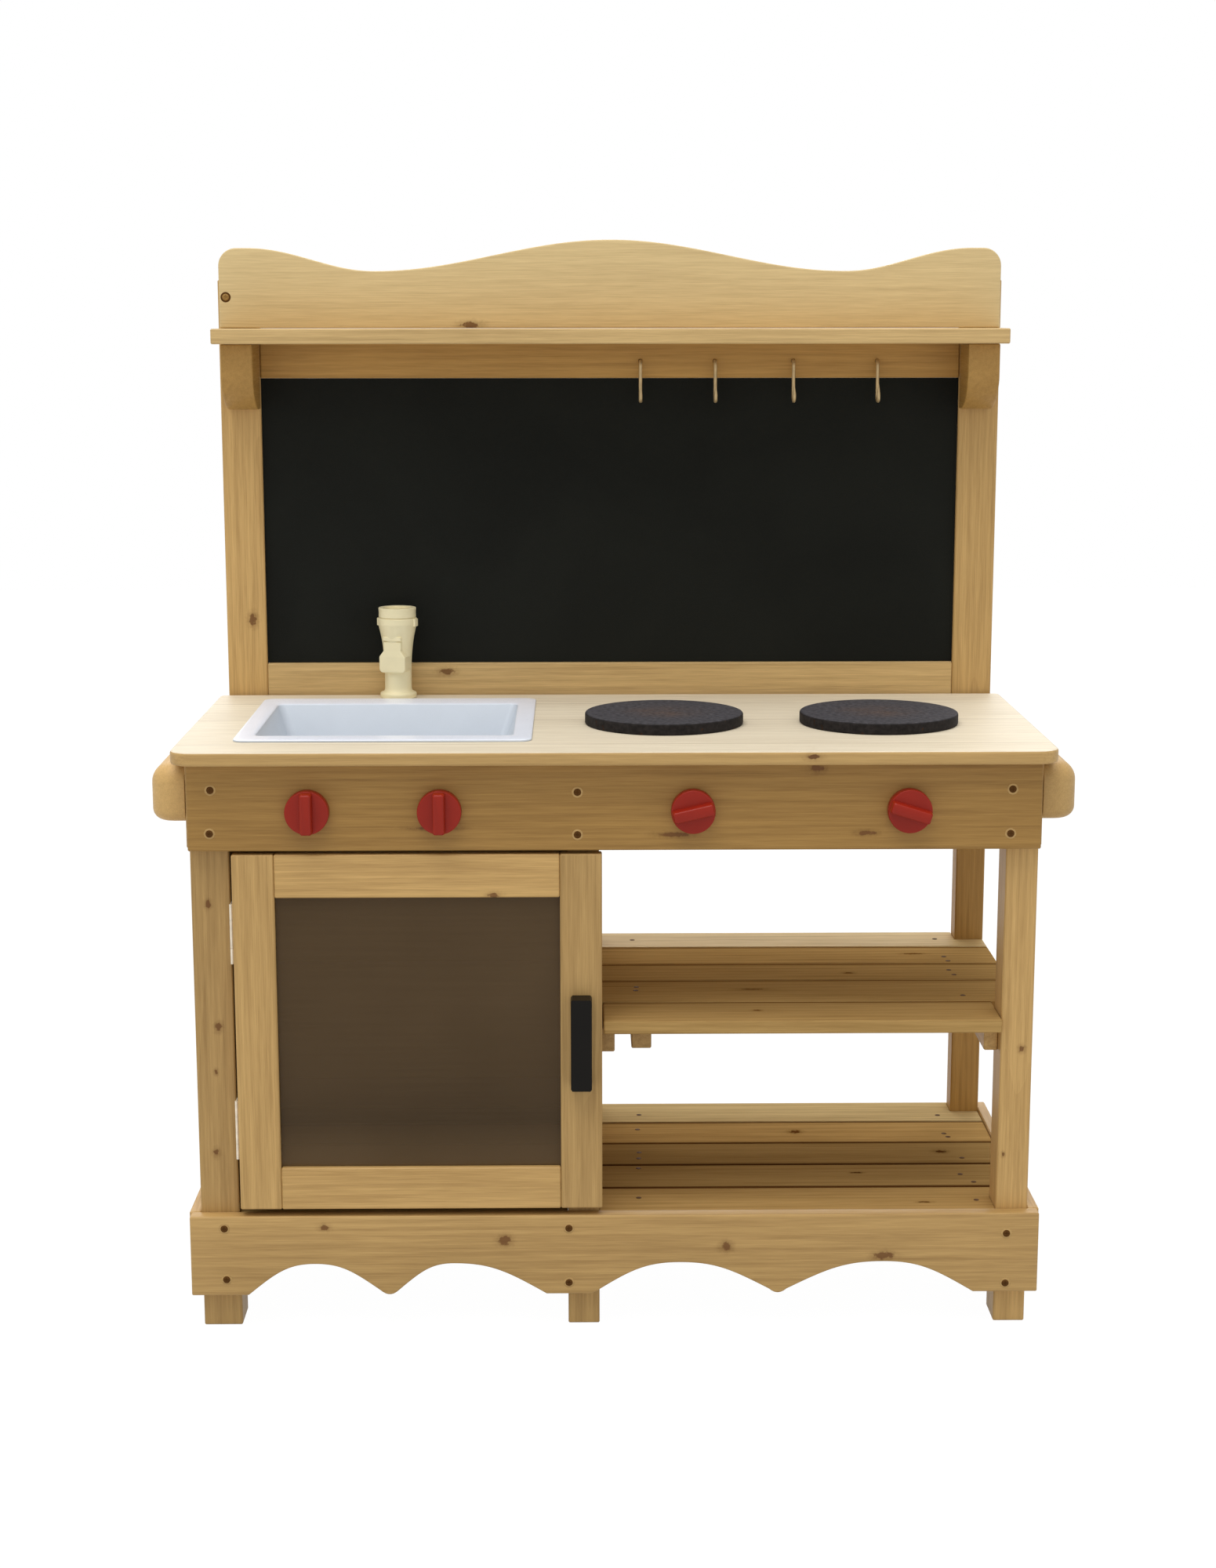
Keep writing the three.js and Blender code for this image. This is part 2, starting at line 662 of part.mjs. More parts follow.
const shelfRear = legRear + deckRearOverhang;
const doorRightEdge = middleLeg[1] + doorOverlap;
const notchHeights = grown([shelfFoot, shelfTop], cutOverrun);
const shelfNotch = box([rightLeg[0] - seatGap, carcassSide + cutOverrun],
  [backLegs[0] - seatGap, shelfRear + cutOverrun], notchHeights);
let slatFront = shelfFrontInset;
shelfSlatShares.forEach((share, index) => {
  const first = index === 0;
  const last = index === shelfSlatShares.length - 1;
  const slatRear = slatFront + share * (shelfRear - shelfFrontInset);
  const behindLeg = last ? middleLeg[1] + seatGap : dividerSpan[1] + seatGap;
  const span = first ? [doorRightEdge + shelfDoorGap, rightLeg[0] - seatGap] : [behindLeg, carcassSide];
  const slat = planed(span, [slatFront, slatRear - (last ? 0 : slatJoint)], [shelfFoot, shelfTop]);
  add(`shelf_slat_${index + 1}`, last ? cut(slat, shelfNotch) : slat, pine);
  slatFront = slatRear;
});

// Worktop, open for the basin and for the tap's shank
const basinLeft = basinLeftMargin - worktopWidth / 2;
const basinRimSpan = [basinLeft, middleLeg[0] - basinLegClearance];
const basinRimDepth = [basinFrontMargin, worktopDepth - basinRearMargin];
const basinOpening = {
  across: grown(basinRimSpan, -basinSideRim),
  depth: [basinRimDepth[0] + basinFrontRim, basinRimDepth[1] - basinRearRim],
};
const cutOutOverOpening = basinWall + cutOutPlay;
const tapBack = frameFront - tapSetback;
const tapAcross = middleOf(basinRimSpan) + tapOffCentre;
const worktopOutline = roundedRectangle([-worktopWidth / 2, worktopWidth / 2], [0, worktopDepth],
  worktopFrontRadius, worktopRearRadius);
const cutOutRadius = basinOpeningRadius + cutOutOverOpening;
worktopOutline.holes.push(roundedRectangle(grown(basinOpening.across, cutOutOverOpening),
  grown(basinOpening.depth, cutOutOverOpening), cutOutRadius, cutOutRadius, THREE.Path));
const worktopBlank = thicken(worktopOutline, worktopThickness, worktopEdgeRounding, worktopEdgeSteps)
  .translate(0, 0, worktopFoot);
const tapHole = rod(upAxis, new THREE.Vector3(tapAcross, tapBack, 0), tapShankRadius + turningGap,
  grown([worktopFoot, worktopTop], cutOverrun));
add('worktop', cut(worktopBlank, tapHole), palePine);

// Basin: rounded rectangles at each level, up the outside, over the rim and down the inside
function basinShell() {
  const rimEdge = { across: basinRimSpan, depth: basinRimDepth };
  const level = ({ across, depth }, growth, radius, height) => ({
    across: grown(across, growth), depth: grown(depth, growth), radius, height,
  });
  const rimHead = seatGap + basinRimThickness;
  const floorHead = rimHead - basinDepth;
  const levels = [
    level(basinOpening, basinWall - basinFloorInset, basinFloorRadius + basinWall, floorHead - basinWall),
    level(basinOpening, basinWall, basinOpeningRadius + basinWall, seatGap),
    level(rimEdge, 0, basinRimRadius, seatGap),
    level(rimEdge, 0, basinRimRadius, rimHead - basinRimEdge),
    level(rimEdge, -basinRimEdge, basinRimRadius - basinRimEdge, rimHead),
    level(basinOpening, basinRimEdge, basinOpeningRadius + basinRimEdge, rimHead),
    level(basinOpening, 0, basinOpeningRadius, rimHead - basinRimEdge),
    level(basinOpening, -basinFloorInset, basinFloorRadius, floorHead),
  ];
  const rings = levels.map(({ across: width, depth, radius, height }) => {
    const [left, right, front, rear] = [...grown(width, -radius), ...grown(depth, -radius)];
    const centres = [[right, rear], [left, rear], [left, front], [right, front]];
    return centres.flatMap(([centreX, centreY], quarter) => (
      Array.from({ length: cornerSteps + 1 }, (_, step) => {
        const angle = (quarter + step / cornerSteps) * Math.PI / 2;
        const [across, back] = [radius * Math.cos(angle), radius * Math.sin(angle)];
        return new THREE.Vector3(centreX + across, centreY + back, height);
      })
    ));
  });
  const count = rings[0].length;
  const index = [];
  for (let ring = 0; ring < rings.length - 1; ring += 1) {
    for (let place = 0; place < count; place += 1) {
      const here = ring * count + place;
      const next = ring * count + (place + 1) % count;
      index.push(here, next, next + count, here, next + count, here + count);
    }
  }
  const last = (rings.length - 1) * count;
  for (let place = 1; place < count - 1; place += 1) {
    index.push(0, place + 1, place, last, last + place, last + place + 1);
  }
  const geometry = new THREE.BufferGeometry().setFromPoints(rings.flat());
  geometry.setIndex(index);
  geometry.computeVertexNormals();
  return geometry;
}

add('basin', basinShell(), bluePlastic, kitchen, [0, 0, worktopTop]);

// Hob plates
const hobProfile = [
  [0, 0],
  [hobRadius - hobEdge, 0],
  [hobRadius, hobEdge],
  [hobRadius, hobThickness - hobEdge],
  [hobRadius - hobEdge, hobThickness],
  [0, hobThickness],
];
hobShares.forEach((share, index) => {
  const place = [share * worktopWidth / 2, hobBack, worktopTop + seatGap];
  add(`hob_plate_${index + 1}`, turned(hobProfile), hobBlack, kitchen, place);
});

// Tap: one moulding from its nut under the worktop to the ring at its head, and a dished cap that turns in it
const tap = new THREE.Group();
tap.position.set(tapAcross, tapBack, worktopTop);
tap.rotation.z = THREE.MathUtils.degToRad(tapTurn);
kitchen.add(tap);

const nutHead = -worktopThickness - seatGap;
const flangeHead = seatGap + tapFlangeThickness;
const ringHead = tapRingFoot + tapRingHeight;
const socketFoot = ringHead - tapStemLength - seatGap;
const socketRadius = tapStemRadius + turningGap;
const tapMoulding = turned([
  [0, nutHead - tapNutThickness],
  [tapNutRadius, nutHead - tapNutThickness],
  [tapNutRadius, nutHead],
  [tapShankRadius, nutHead],
  [tapShankRadius, seatGap],
  [tapFlangeRadius, seatGap],
  [tapFlangeRadius, flangeHead - tapRingEdge],
  [tapFlangeRadius - tapRingEdge, flangeHead],
  [tapColumnRadius, flangeHead],
  [tapColumnRadius, tapColumnHeight],
  [tapThroatRadius, tapThroatHeight],
  [tapRingRadius - tapRingEdge, tapRingFoot],
  [tapRingRadius, tapRingFoot + tapRingEdge],
  [tapRingRadius, ringHead - tapRingEdge],
  [tapRingRadius - tapRingEdge, ringHead],
  [socketRadius, ringHead],
  [socketRadius, socketFoot],
  [0, socketFoot],
]);
const spoutOutline = new THREE.Shape([
  new THREE.Vector2(0, tapSpoutFoot),
  new THREE.Vector2(0, tapSpoutFoot + tapSpoutHeight),
  new THREE.Vector2(-tapSpoutTopReach, tapSpoutFoot + tapSpoutHeight),
  new THREE.Vector2(-tapSpoutReach, tapSpoutFoot + tapSpoutFace),
  new THREE.Vector2(-tapSpoutReach, tapSpoutFoot),
].reverse());
const spout = facingSide(spoutOutline, [-tapSpoutWidth / 2, tapSpoutWidth / 2]);
const lugs = box([-tapLugReach, tapLugReach], [-tapLugWidth / 2, tapLugWidth / 2],
  [tapRingFoot, ringHead - tapRingEdge]);
const tapSocket = rod(upAxis, new THREE.Vector3(), socketRadius, [socketFoot, ringHead + cutOverrun]);
add('tap_body', cut(join(tapMoulding, spout, lugs), tapSocket), creamPlastic, tap);

const capFoot = ringHead + seatGap;
const capHead = capFoot + tapCapHeight;
add('tap_cap', turned([
  [0, capFoot - tapStemLength],
  [tapStemRadius, capFoot - tapStemLength],
  [tapStemRadius, capFoot],
  [tapCapRadius - tapRingEdge, capFoot],
  [tapCapRadius, capFoot + tapRingEdge],
  [tapCapWaist, middleOf([capFoot, capHead])],
  [tapCapRadius, capHead - tapRingEdge],
  [tapCapRadius - tapRingEdge, capHead],
  [tapCapDishRadius + tapRingEdge, capHead],
  [tapCapDishRadius, capHead - tapRingEdge],
  [tapCapDishRadius - tapRingEdge, capHead - tapCapDishDepth],
  [0, capHead - tapCapDishDepth],
]), creamPlastic, tap);

// Knobs: a disc with a bar grip, on a shaft through the panel with a washer behind it
const knobBack = -frontBoardThickness - seatGap;
const knobDisc = turned([
  [0, knobBack - knobWasherThickness],
  [knobWasherRadius, knobBack - knobWasherThickness],
  [knobWasherRadius, knobBack],
  [knobShaftRadius, knobBack],
  [knobShaftRadius, seatGap],
  [knobRadius, seatGap],
  [knobRadius, knobThickness - knobEdge],
  [knobRadius - knobEdge, knobThickness],
  [0, knobThickness],
]);
const knobGrip = planed([-knobGripWidth / 2, knobGripWidth / 2], [-knobGripLength / 2, knobGripLength / 2],
  [knobThickness / 2, knobThickness + knobGripHeight], knobGripEdge);
const knobSolid = join(knobDisc, knobGrip).rotateX(Math.PI / 2);
knobPlaces.forEach((across, index) => {
  const place = [across, frontInset, knobHeight];
  const knob = add(`knob_${index + 1}`, knobSolid.clone(), redPlastic, kitchen, place);
  knob.rotation.y = THREE.MathUtils.degToRad(-knobGripTurns[index]);
});

// Side rails: round-edged bars along the side aprons
const railInner = apronOuter + seatGap;
const railHead = worktopFoot - sideRailTopGap;
const sideRailRear = legRear - sideRailRearInset;
const railPlan = roundedRectangle([railInner - 2 * sideRailRounding, railInner + sideRailReach],
  [sideRailFront, sideRailRear], sideRailCornerRadius, sideRailCornerRadius);
const railBlank = thicken(railPlan, sideRailHeight, sideRailRounding, sideRailSteps)
  .translate(0, 0, railHead - sideRailHeight);
const railFlat = box([railInner - 2 * sideRailRounding - cutOverrun, railInner],
  grown([sideRailFront, sideRailRear], cutOverrun), grown([railHead - sideRailHeight, railHead], cutOverrun));
const sideRail = cut(railBlank, railFlat);
add('side_rail_right', sideRail, pine);
add('side_rail_left', sideRail.clone().rotateZ(Math.PI).translate(0, sideRailFront + sideRailRear, 0), pine);

// Door, in a group that stands on its hinge pin. The barrel fills the slot between the leg and the door.
const doorFoot = plinthTop + doorBottomGap;
const doorHeight = panelFoot - doorTopGap - doorFoot;
const pinAcross = leftLeg[1] + seatGap + hingeLeafThickness;
const pinBack = frontInset + doorThickness / 2;
const doorEdge = hingeBarrelRadius + seatGap + hingeSlotPlay;
const doorSpan = [doorEdge, doorRightEdge - pinAcross];
const doorDepth = [-doorThickness / 2, doorThickness / 2];
const door = new THREE.Group();
door.position.set(pinAcross, pinBack, doorFoot);
kitchen.add(door);

const paneDepth = [-windowThickness / 2, windowThickness / 2];
const paneOpening = {
  across: [doorSpan[0] + doorStileWidth, doorSpan[1] - doorStileWidth],
  up: [doorRailWidth, doorHeight - doorRailWidth],
};
const grooves = box(grown(paneOpening.across, grooveDepth), grown(paneDepth, seatGap),
  grown(paneOpening.up, grooveDepth));
const doorStiles = {
  left: [doorSpan[0], paneOpening.across[0]],
  right: [paneOpening.across[1], doorSpan[1]],
};
for (const [side, span] of Object.entries(doorStiles)) {
  add(`door_stile_${side}`, cut(planed(span, doorDepth, [0, doorHeight]), grooves), pine, door);
}
const doorRails = {
  bottom: [0, paneOpening.up[0]],
  top: [paneOpening.up[1], doorHeight],
};
for (const [end, heights] of Object.entries(doorRails)) {
  const rail = planed(grown(paneOpening.across, -seatGap), doorDepth, heights);
  add(`door_rail_${end}`, cut(rail, grooves), pine, door);
}
const pane = box(grown(paneOpening.across, windowTongue), paneDepth, grown(paneOpening.up, windowTongue));
add('door_window', pane, smokedPane, door);

// Handle: a flat bar on two feet, open behind for the fingers
const handleFoot = handleCentreHeight - doorFoot - handleLength / 2;
const handleHead = handleFoot + handleLength;
const handleFace = -doorThickness / 2 - seatGap;
const handleFront = handleFace - handleReach;
const barBack = handleFront + handleBarThickness;
const handleOutline = new THREE.Shape([
  new THREE.Vector2(handleFront, handleFoot),
  new THREE.Vector2(handleFace, handleFoot),
  new THREE.Vector2(handleFace, handleFoot + handleFootLength),
  new THREE.Vector2(barBack, handleFoot + handleFootLength),
  new THREE.Vector2(barBack, handleHead - handleFootLength),
  new THREE.Vector2(handleFace, handleHead - handleFootLength),
  new THREE.Vector2(handleFace, handleHead),
  new THREE.Vector2(handleFront, handleHead),
]);
const handleSpan = grown([middleOf(doorStiles.right), middleOf(doorStiles.right)], handleWidth / 2);
add('door_handle', facingSide(handleOutline, handleSpan, handleEdge), blackPlastic, door);

// Hinges: the frame leaf lies on the leg and holds the pin; the door leaf wraps the door's edge and back
const knuckleClear = hingeBarrelRadius + turningGap;
const hingeHeights = { lower: doorHeight / 2 - hingeSpread / 2, upper: doorHeight / 2 + hingeSpread / 2 };
const hingeMiddle = [hingeEndKnuckle, hingeLength - hingeEndKnuckle];
const pinCentre = new THREE.Vector3();

function frameLeaf() {
  const plate = box([-hingeLeafThickness, 0], [knuckleClear, doorThickness / 2 + hingeFrameLeafWidth],
    [0, hingeLength]);
  const endKnuckles = [[0, hingeMiddle[0] - turningGap], [hingeMiddle[1] + turningGap, hingeLength]];
  const ends = endKnuckles.flatMap((heights) => [
    rod(upAxis, pinCentre, hingeBarrelRadius, heights),
    box([-hingeLeafThickness, 0], [0, knuckleClear + seatGap], heights),
  ]);
  return join(plate, ...ends, rod(upAxis, pinCentre, hingePinRadius, [0, hingeLength]));
}

function doorLeaf() {
  const web = [doorEdge - seatGap - hingeLeafThickness, doorEdge - seatGap];
  const back = [doorThickness / 2 + seatGap, doorThickness / 2 + seatGap + hingeLeafThickness];
  return cut(
    join(
      rod(upAxis, pinCentre, hingeBarrelRadius, hingeMiddle),
      box(web, [0, knuckleClear + seatGap], hingeMiddle),
      box(web, [knuckleClear, back[1]], [0, hingeLength]),
      box([web[0], doorEdge + hingeDoorLeafWidth], back, [0, hingeLength]),
    ),
    rod(upAxis, pinCentre, hingePinRadius + turningGap, grown(hingeMiddle, cutOverrun)),
  );
}

for (const [name, height] of Object.entries(hingeHeights)) {
  const foot = height - hingeLength / 2;
  add(`hinge_frame_leaf_${name}`, frameLeaf(), zinc, kitchen, [pinAcross, pinBack, doorFoot + foot]);
  add(`hinge_door_leaf_${name}`, doorLeaf(), zinc, door, [0, 0, foot]);
}

// The origin is the middle of the footprint, from the foremost grip to the back of the frame
const gripReach = Math.max(knobThickness + knobGripHeight, seatGap + handleReach);
kitchen.position.y = -middleOf([frontInset - gripReach, frameDepth[1]]);
const mudKitchen = new THREE.Group();
mudKitchen.add(kitchen);

export default mudKitchen;
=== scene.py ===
"""Looks of a children's mud kitchen in planed pine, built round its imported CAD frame."""

import math

import bmesh
import bpy
import numpy as np
from bpy.props import FloatProperty, FloatVectorProperty, PointerProperty
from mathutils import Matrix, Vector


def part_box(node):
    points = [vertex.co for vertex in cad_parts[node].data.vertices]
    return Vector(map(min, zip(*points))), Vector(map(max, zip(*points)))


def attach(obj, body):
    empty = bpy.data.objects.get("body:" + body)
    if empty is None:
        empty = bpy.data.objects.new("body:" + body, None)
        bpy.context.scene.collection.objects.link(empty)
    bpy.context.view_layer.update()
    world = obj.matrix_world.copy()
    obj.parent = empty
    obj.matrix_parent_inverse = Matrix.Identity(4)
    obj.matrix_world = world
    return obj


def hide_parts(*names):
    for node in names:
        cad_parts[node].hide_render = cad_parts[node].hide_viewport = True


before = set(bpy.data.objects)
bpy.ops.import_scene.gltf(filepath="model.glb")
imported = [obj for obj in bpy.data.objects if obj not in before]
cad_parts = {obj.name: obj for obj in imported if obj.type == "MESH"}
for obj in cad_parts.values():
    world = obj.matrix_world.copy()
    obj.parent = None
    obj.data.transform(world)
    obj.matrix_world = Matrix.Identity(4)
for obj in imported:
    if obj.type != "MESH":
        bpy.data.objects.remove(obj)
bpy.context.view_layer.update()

bl_info = {
    "name": "Mud Kitchen",
    "version": (1, 0, 0),
    "blender": (4, 5, 0),
    "location": "View3D > Sidebar > Mud Kitchen",
    "description": "Finishes and fine pieces for a pine mud kitchen",
    "category": "Add Mesh",
}

MM = 0.001
WHITE = (1, 1, 1, 1)


def linear(code):
    """An sRGB hex colour as linear red, green and blue."""
    value = np.array([int(code[place : place + 2], 16) for place in (1, 3, 5)]) / 255
    return tuple(np.where(value <= 0.04045, value / 12.92, ((value + 0.055) / 1.055) ** 2.4))


def opaque(colour, level=1.0):
    """A linear colour times a level, with full alpha."""
    return (*(level * channel for channel in colour), 1.0)


def colour_setting(label, description, code):
    """A colour that the user can change, from an sRGB hex default."""
    return FloatVectorProperty(
        name=label, description=description, default=linear(code), size=3, min=0, max=1, subtype="COLOR"
    )


def length_setting(label, description, millimetres):
    """A length that the user can change, with its default in millimetres."""
    return FloatProperty(name=label, description=description, default=millimetres * MM, min=0, unit="LENGTH")


class KitchenSizes(bpy.types.PropertyGroup):
    """Sizes of the fine pieces and of the wood's figure."""

    screw_head: length_setting("Screw head", "Diameter of a screw's round head", 7.6)
    nail_head: length_setting("Nail head", "Diameter of a nail's head in the slats", 6.2)
    ring_spacing: length_setting("Ring spacing", "Distance between growth rings", 9)
    fibre_width: length_setting("Fibre width", "Width of the fine grain, drawn as coarse as it shows", 1.1)
    eased_edge: length_setting("Eased edge", "Rounding of the shaped boards' edges", 1.6)
    hob_worn_radius: length_setting("Hob wear", "Radius of the worn middle of a hob plate", 62)
    floor_side: length_setting("Floor side", "Length of the floor's sides", 14000)


class KitchenColours(bpy.types.PropertyGroup):
    """Colours of the finishes."""

    # Umber serves in part as painted shade under the shelf, and straw in part as painted light on the rear
    # slat and plank
    honey: colour_setting("Honey pine", "Legs, door, frame and shelves", "#CDA86B")
    wheat: colour_setting("Wheat pine", "Top shelf and the frame's bottom rail", "#D2B37B")
    straw: colour_setting("Straw pine", "Crest board and the rear slats", "#D6BE8B")
    umber: colour_setting("Umber pine", "Control panel, top rail and back legs", "#B78E4C")
    # The worktop's upper face is this lighter colour of the same pine as its tan sides: painted overhead
    # light
    pale: colour_setting("Pale pine", "Upper face of the worktop", "#F0E4CB")
    # The knot colour also draws the painted shade of the gap lines, and the hob plates' chips
    knot: colour_setting("Knot", "Knots in the pine", "#6B4119")
    chalkboard: colour_setting("Chalkboard", "Black chalkboard paint", "#161713")
    red: colour_setting("Red", "Moulded knobs", "#96210F")
    cream: colour_setting("Cream", "Moulded tap", "#F5E8BC")
    lavender: colour_setting("Pale blue", "Moulded basin", "#F1F5FF")
    hob: colour_setting("Hob black", "Paint on the hob plates", "#434144")
    hob_worn: colour_setting("Hob wear", "Where the hob plates are rubbed brown", "#57463C")
    # The pane's colour is partly the smoke-brown sheet and partly painted light of the dim inside seen
    # through it
    pane: colour_setting("Pane", "Smoke-brown window", "#6E5739")
    zinc: colour_setting("Zinc", "Hinges", "#FBF0DA")
    bronze: colour_setting("Bronze", "Hooks", "#CDB384")
    screw: colour_setting("Screw", "Screw and nail heads", "#5E3D1A")
    brass: colour_setting("Brass", "Screw in the crest board", "#A58048")
    black: colour_setting("Black", "Door handle", "#0F0C08")


def sizes():
    """The sizes that the user has set."""
    return bpy.context.scene.kitchen_sizes


def colours():
    """The colours that the user has set."""
    return bpy.context.scene.kitchen_colours


# Shapes: every shell is a pair of points in millimetres and faces

# Edges between faces that turn by fewer degrees than this are shaded smooth
SMOOTH_BELOW = 38


def node_box(name):
    """The lowest and highest corner of a CAD node, in millimetres."""
    return np.array([tuple(corner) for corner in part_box(name)]) / MM


def shell(rings):
    """Rings of points joined in order by four-sided faces, with one flat face over each end."""
    count, around = rings.shape[:2]
    index = np.arange(count * around).reshape(count, around)
    here, there = index[:-1], index[1:]
    quads = np.stack([here, np.roll(here, -1, 1), np.roll(there, -1, 1), there], -1).reshape(-1, 4)
    return rings.reshape(-1, 3), quads.tolist() + [index[0, ::-1].tolist(), index[-1].tolist()]


def placed(name, data):
    """A new object in the scene."""
    made = bpy.data.objects.new(name, data)
    bpy.context.scene.collection.objects.link(made)
    return made


def piece(name, shells, body, finish, replaced=()):
    """One named piece of closed shells, with doubles merged and faces turned outwards. It rides on a body."""
    mesh = bpy.data.meshes.new(name)
    starts = np.cumsum([0] + [len(points) for points, _ in shells])
    faces = [[start + corner for corner in face] for start, (_, own) in zip(starts, shells) for face in own]
    mesh.from_pydata(np.concatenate([points for points, _ in shells]) * MM, [], faces)
    work = bmesh.new()
    work.from_mesh(mesh)
    bmesh.ops.remove_doubles(work, verts=work.verts, dist=2e-6)
    bmesh.ops.recalc_face_normals(work, faces=work.faces)
    work.to_mesh(mesh)
    work.free()
    mesh.polygons.foreach_set("use_smooth", np.ones(len(mesh.polygons), bool))
    mesh.set_sharp_from_angle(angle=math.radians(SMOOTH_BELOW))
    mesh.materials.append(finish)
    made = placed(name, mesh)
    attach(made, body)
    if replaced:
        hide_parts(*replaced)


def round_angles(count):
    """Equal steps once round a circle, in radians."""
    return np.arange(count) / count * 2 * math.pi


def outward_axes(outward):
    """Three axes for a form that stands out along a direction: across it, up its face, and outwards."""
    axis = np.array(outward, float)
    across = np.array([1.0, 0, 0])
    return across, np.cross(axis, across), axis


def eased(corners, reach, steps):
    """An open line with its corners rounded: from reach before a corner to reach after it the line is
    (1-t)^2 a + 2t(1-t) corner + t^2 b. The first and last points stay."""
    corners = np.asarray(corners, float)
    reach = np.broadcast_to(np.asarray(reach, float), len(corners)).copy()
    reach[[0, -1]] = 0
    back = np.roll(corners, 1, 0) - corners
    on = np.roll(corners, -1, 0) - corners
    back_length = np.maximum(np.linalg.norm(back, axis=1), 1e-9)
    on_length = np.maximum(np.linalg.norm(on, axis=1), 1e-9)
    reach = np.minimum(reach, np.minimum(back_length, on_length) / 2)
    first = (corners + back * (reach / back_length)[:, None])[:, None]
    last = (corners + on * (reach / on_length)[:, None])[:, None]
    t = np.linspace(0, 1, steps)[None, :, None]
    curve = (1 - t) ** 2 * first + 2 * t * (1 - t) * corners[:, None] + t**2 * last
    return curve.reshape(-1, corners.shape[1])


def turned(profile, centre, outward=(0, 0, 1), around=64):
    """A profile of radius and height turned about an axis: centre + r (cos a U + sin a V) + h W."""
    profile = np.asarray(profile, float)
    first, second, axis = outward_axes(outward)
    angle = round_angles(around)
    spokes = np.cos(angle)[:, None] * first + np.sin(angle)[:, None] * second
    rings = profile[:, 0, None, None] * spokes[None] + profile[:, 1, None, None] * axis
    return shell(rings + np.asarray(centre, float))


def rounded_rings(left, right, near, far, height, radii, steps):
    """Rounded rectangles, one for each height. Each corner is a quarter circle of its own radius, in the
    order far right, far left, near left, near right."""
    limits = np.broadcast_arrays(*(np.asarray(value, float) for value in (left, right, near, far, height)))
    left, right, near, far, height = (value.reshape(-1, 1, 1) for value in limits)
    radii = np.broadcast_to(np.asarray(radii, float), (len(left), 4))[:, :, None]
    quarter = np.arange(4)[None, :, None]
    angle = (quarter + np.linspace(0, 1, steps)[None, None]) * math.pi / 2
    to_right = np.isin(quarter, (0, 3))
    to_far = np.isin(quarter, (0, 1))
    across = np.where(to_right, right - radii, left + radii) + radii * np.cos(angle)
    back = np.where(to_far, far - radii, near + radii) + radii * np.sin(angle)
    up = np.broadcast_to(height, across.shape)
    return np.stack([across, back, up], -1).reshape(len(left), -1, 3)


def with_ends(inner, start, end):
    """Places along a board, closer together where both of its ends are eased."""
    step = sizes().eased_edge / MM * (1 - np.cos(np.linspace(0, math.pi / 2, 6)))
    return np.unique(np.round(np.concatenate([start + step, inner, end - step]), 4))


def about_upright(points, degrees):
    """Points turned anticlockwise about the upright axis."""
    cos, sin = math.cos(math.radians(degrees)), math.sin(math.radians(degrees))
    return points @ np.array([[cos, sin, 0], [-sin, cos, 0], [0, 0, 1]])


# Finishes

# Most of a noise's values lie in this span
NOISE_SPAN = (0.3, 0.7)
# Output and settings of a node that mixes two colours, and of one that multiplies them
MIXED = {"out": 2, "data_type": "RGBA"}
MULTIPLIED = {**MIXED, "blend_type": "MULTIPLY"}


def add_node(tree, kind, inputs=(), out=0, **settings):
    """Adds a shader node with its settings, and gives one of its outputs. Its inputs are set or linked by
    their names or, where they come without names, in order."""
    made = tree.nodes.new(f"ShaderNode{kind}")
    for key, value in settings.items():
        setattr(made, key, value)
    for key, value in inputs.items() if isinstance(inputs, dict) else enumerate(inputs):
        if isinstance(value, bpy.types.NodeSocket):
            tree.links.new(value, made.inputs[key])
        else:
            made.inputs[key].default_value = value
    return made.outputs[out]


def new_finish(name, **uniform):
    """A material with an empty surface shader. Values that are the same all over are set on its sockets."""
    finish = bpy.data.materials.new(name)
    finish.use_nodes = True
    shader = finish.node_tree.nodes["Principled BSDF"]
    for key, value in uniform.items():
        shader.inputs[key.replace("_", " ")].default_value = value
    return finish, finish.node_tree, shader


def surface(tree, shader, colour, pattern, low, high, relief=None):
    """Links a colour, a roughness that follows a pattern from low to high, and a relief by its inputs."""
    tree.links.new(colour, shader.inputs["Base Color"])
    gloss = add_node(tree, "MapRange", (pattern, *NOISE_SPAN, low, high))
    tree.links.new(gloss, shader.inputs["Roughness"])
    if relief:
        tree.links.new(add_node(tree, "Bump", relief), shader.inputs["Normal"])


def clouded(tree, source, colour, first, second, scale, detail=3.0, distortion=0.0, span=NOISE_SPAN):
    """A colour that drifts in soft clouds from a first level of itself to a second one."""
    cloud = {"Vector": source, "Scale": scale, "Detail": detail, "Distortion": distortion}
    cloud = add_node(tree, "TexNoise", cloud)
    share = add_node(tree, "MapRange", (cloud, *span))
    ends = {6: opaque(colour, first), 7: opaque(colour, second)}
    return add_node(tree, "Mix", {"Factor": share, **ends}, **MIXED)


def fit_to_board(tree, centre, grain, stretch):
    """Object coordinates from a centre in metres, stretched and turned: the first follows the grain."""
    turn = {"X": (0, 0, 0), "Y": (0, 0, math.pi / 2), "Z": (0, -math.pi / 2, 0)}[grain]
    source = add_node(tree, "TexCoord", out="Object")
    inputs = {"Vector": source, "Location": tuple(centre), "Rotation": turn, "Scale": tuple(stretch)}
    return add_node(tree, "Mapping", inputs, vector_type="TEXTURE")


def distance_to(tree, grain, marks, distance=None):
    """How far off the nearest mark is, in its own reaches. A mark is a place and its reaches along the grain,
    front to back, and along the axis left."""
    for place, reach in marks:
        local = fit_to_board(tree, np.multiply(place, MM), grain, np.multiply(reach, MM))
        found = add_node(tree, "VectorMath", [local], out="Value", operation="LENGTH")
        if distance is None:
            distance = found
        else:
            distance = add_node(tree, "Math", (distance, found), operation="MINIMUM")
    return distance


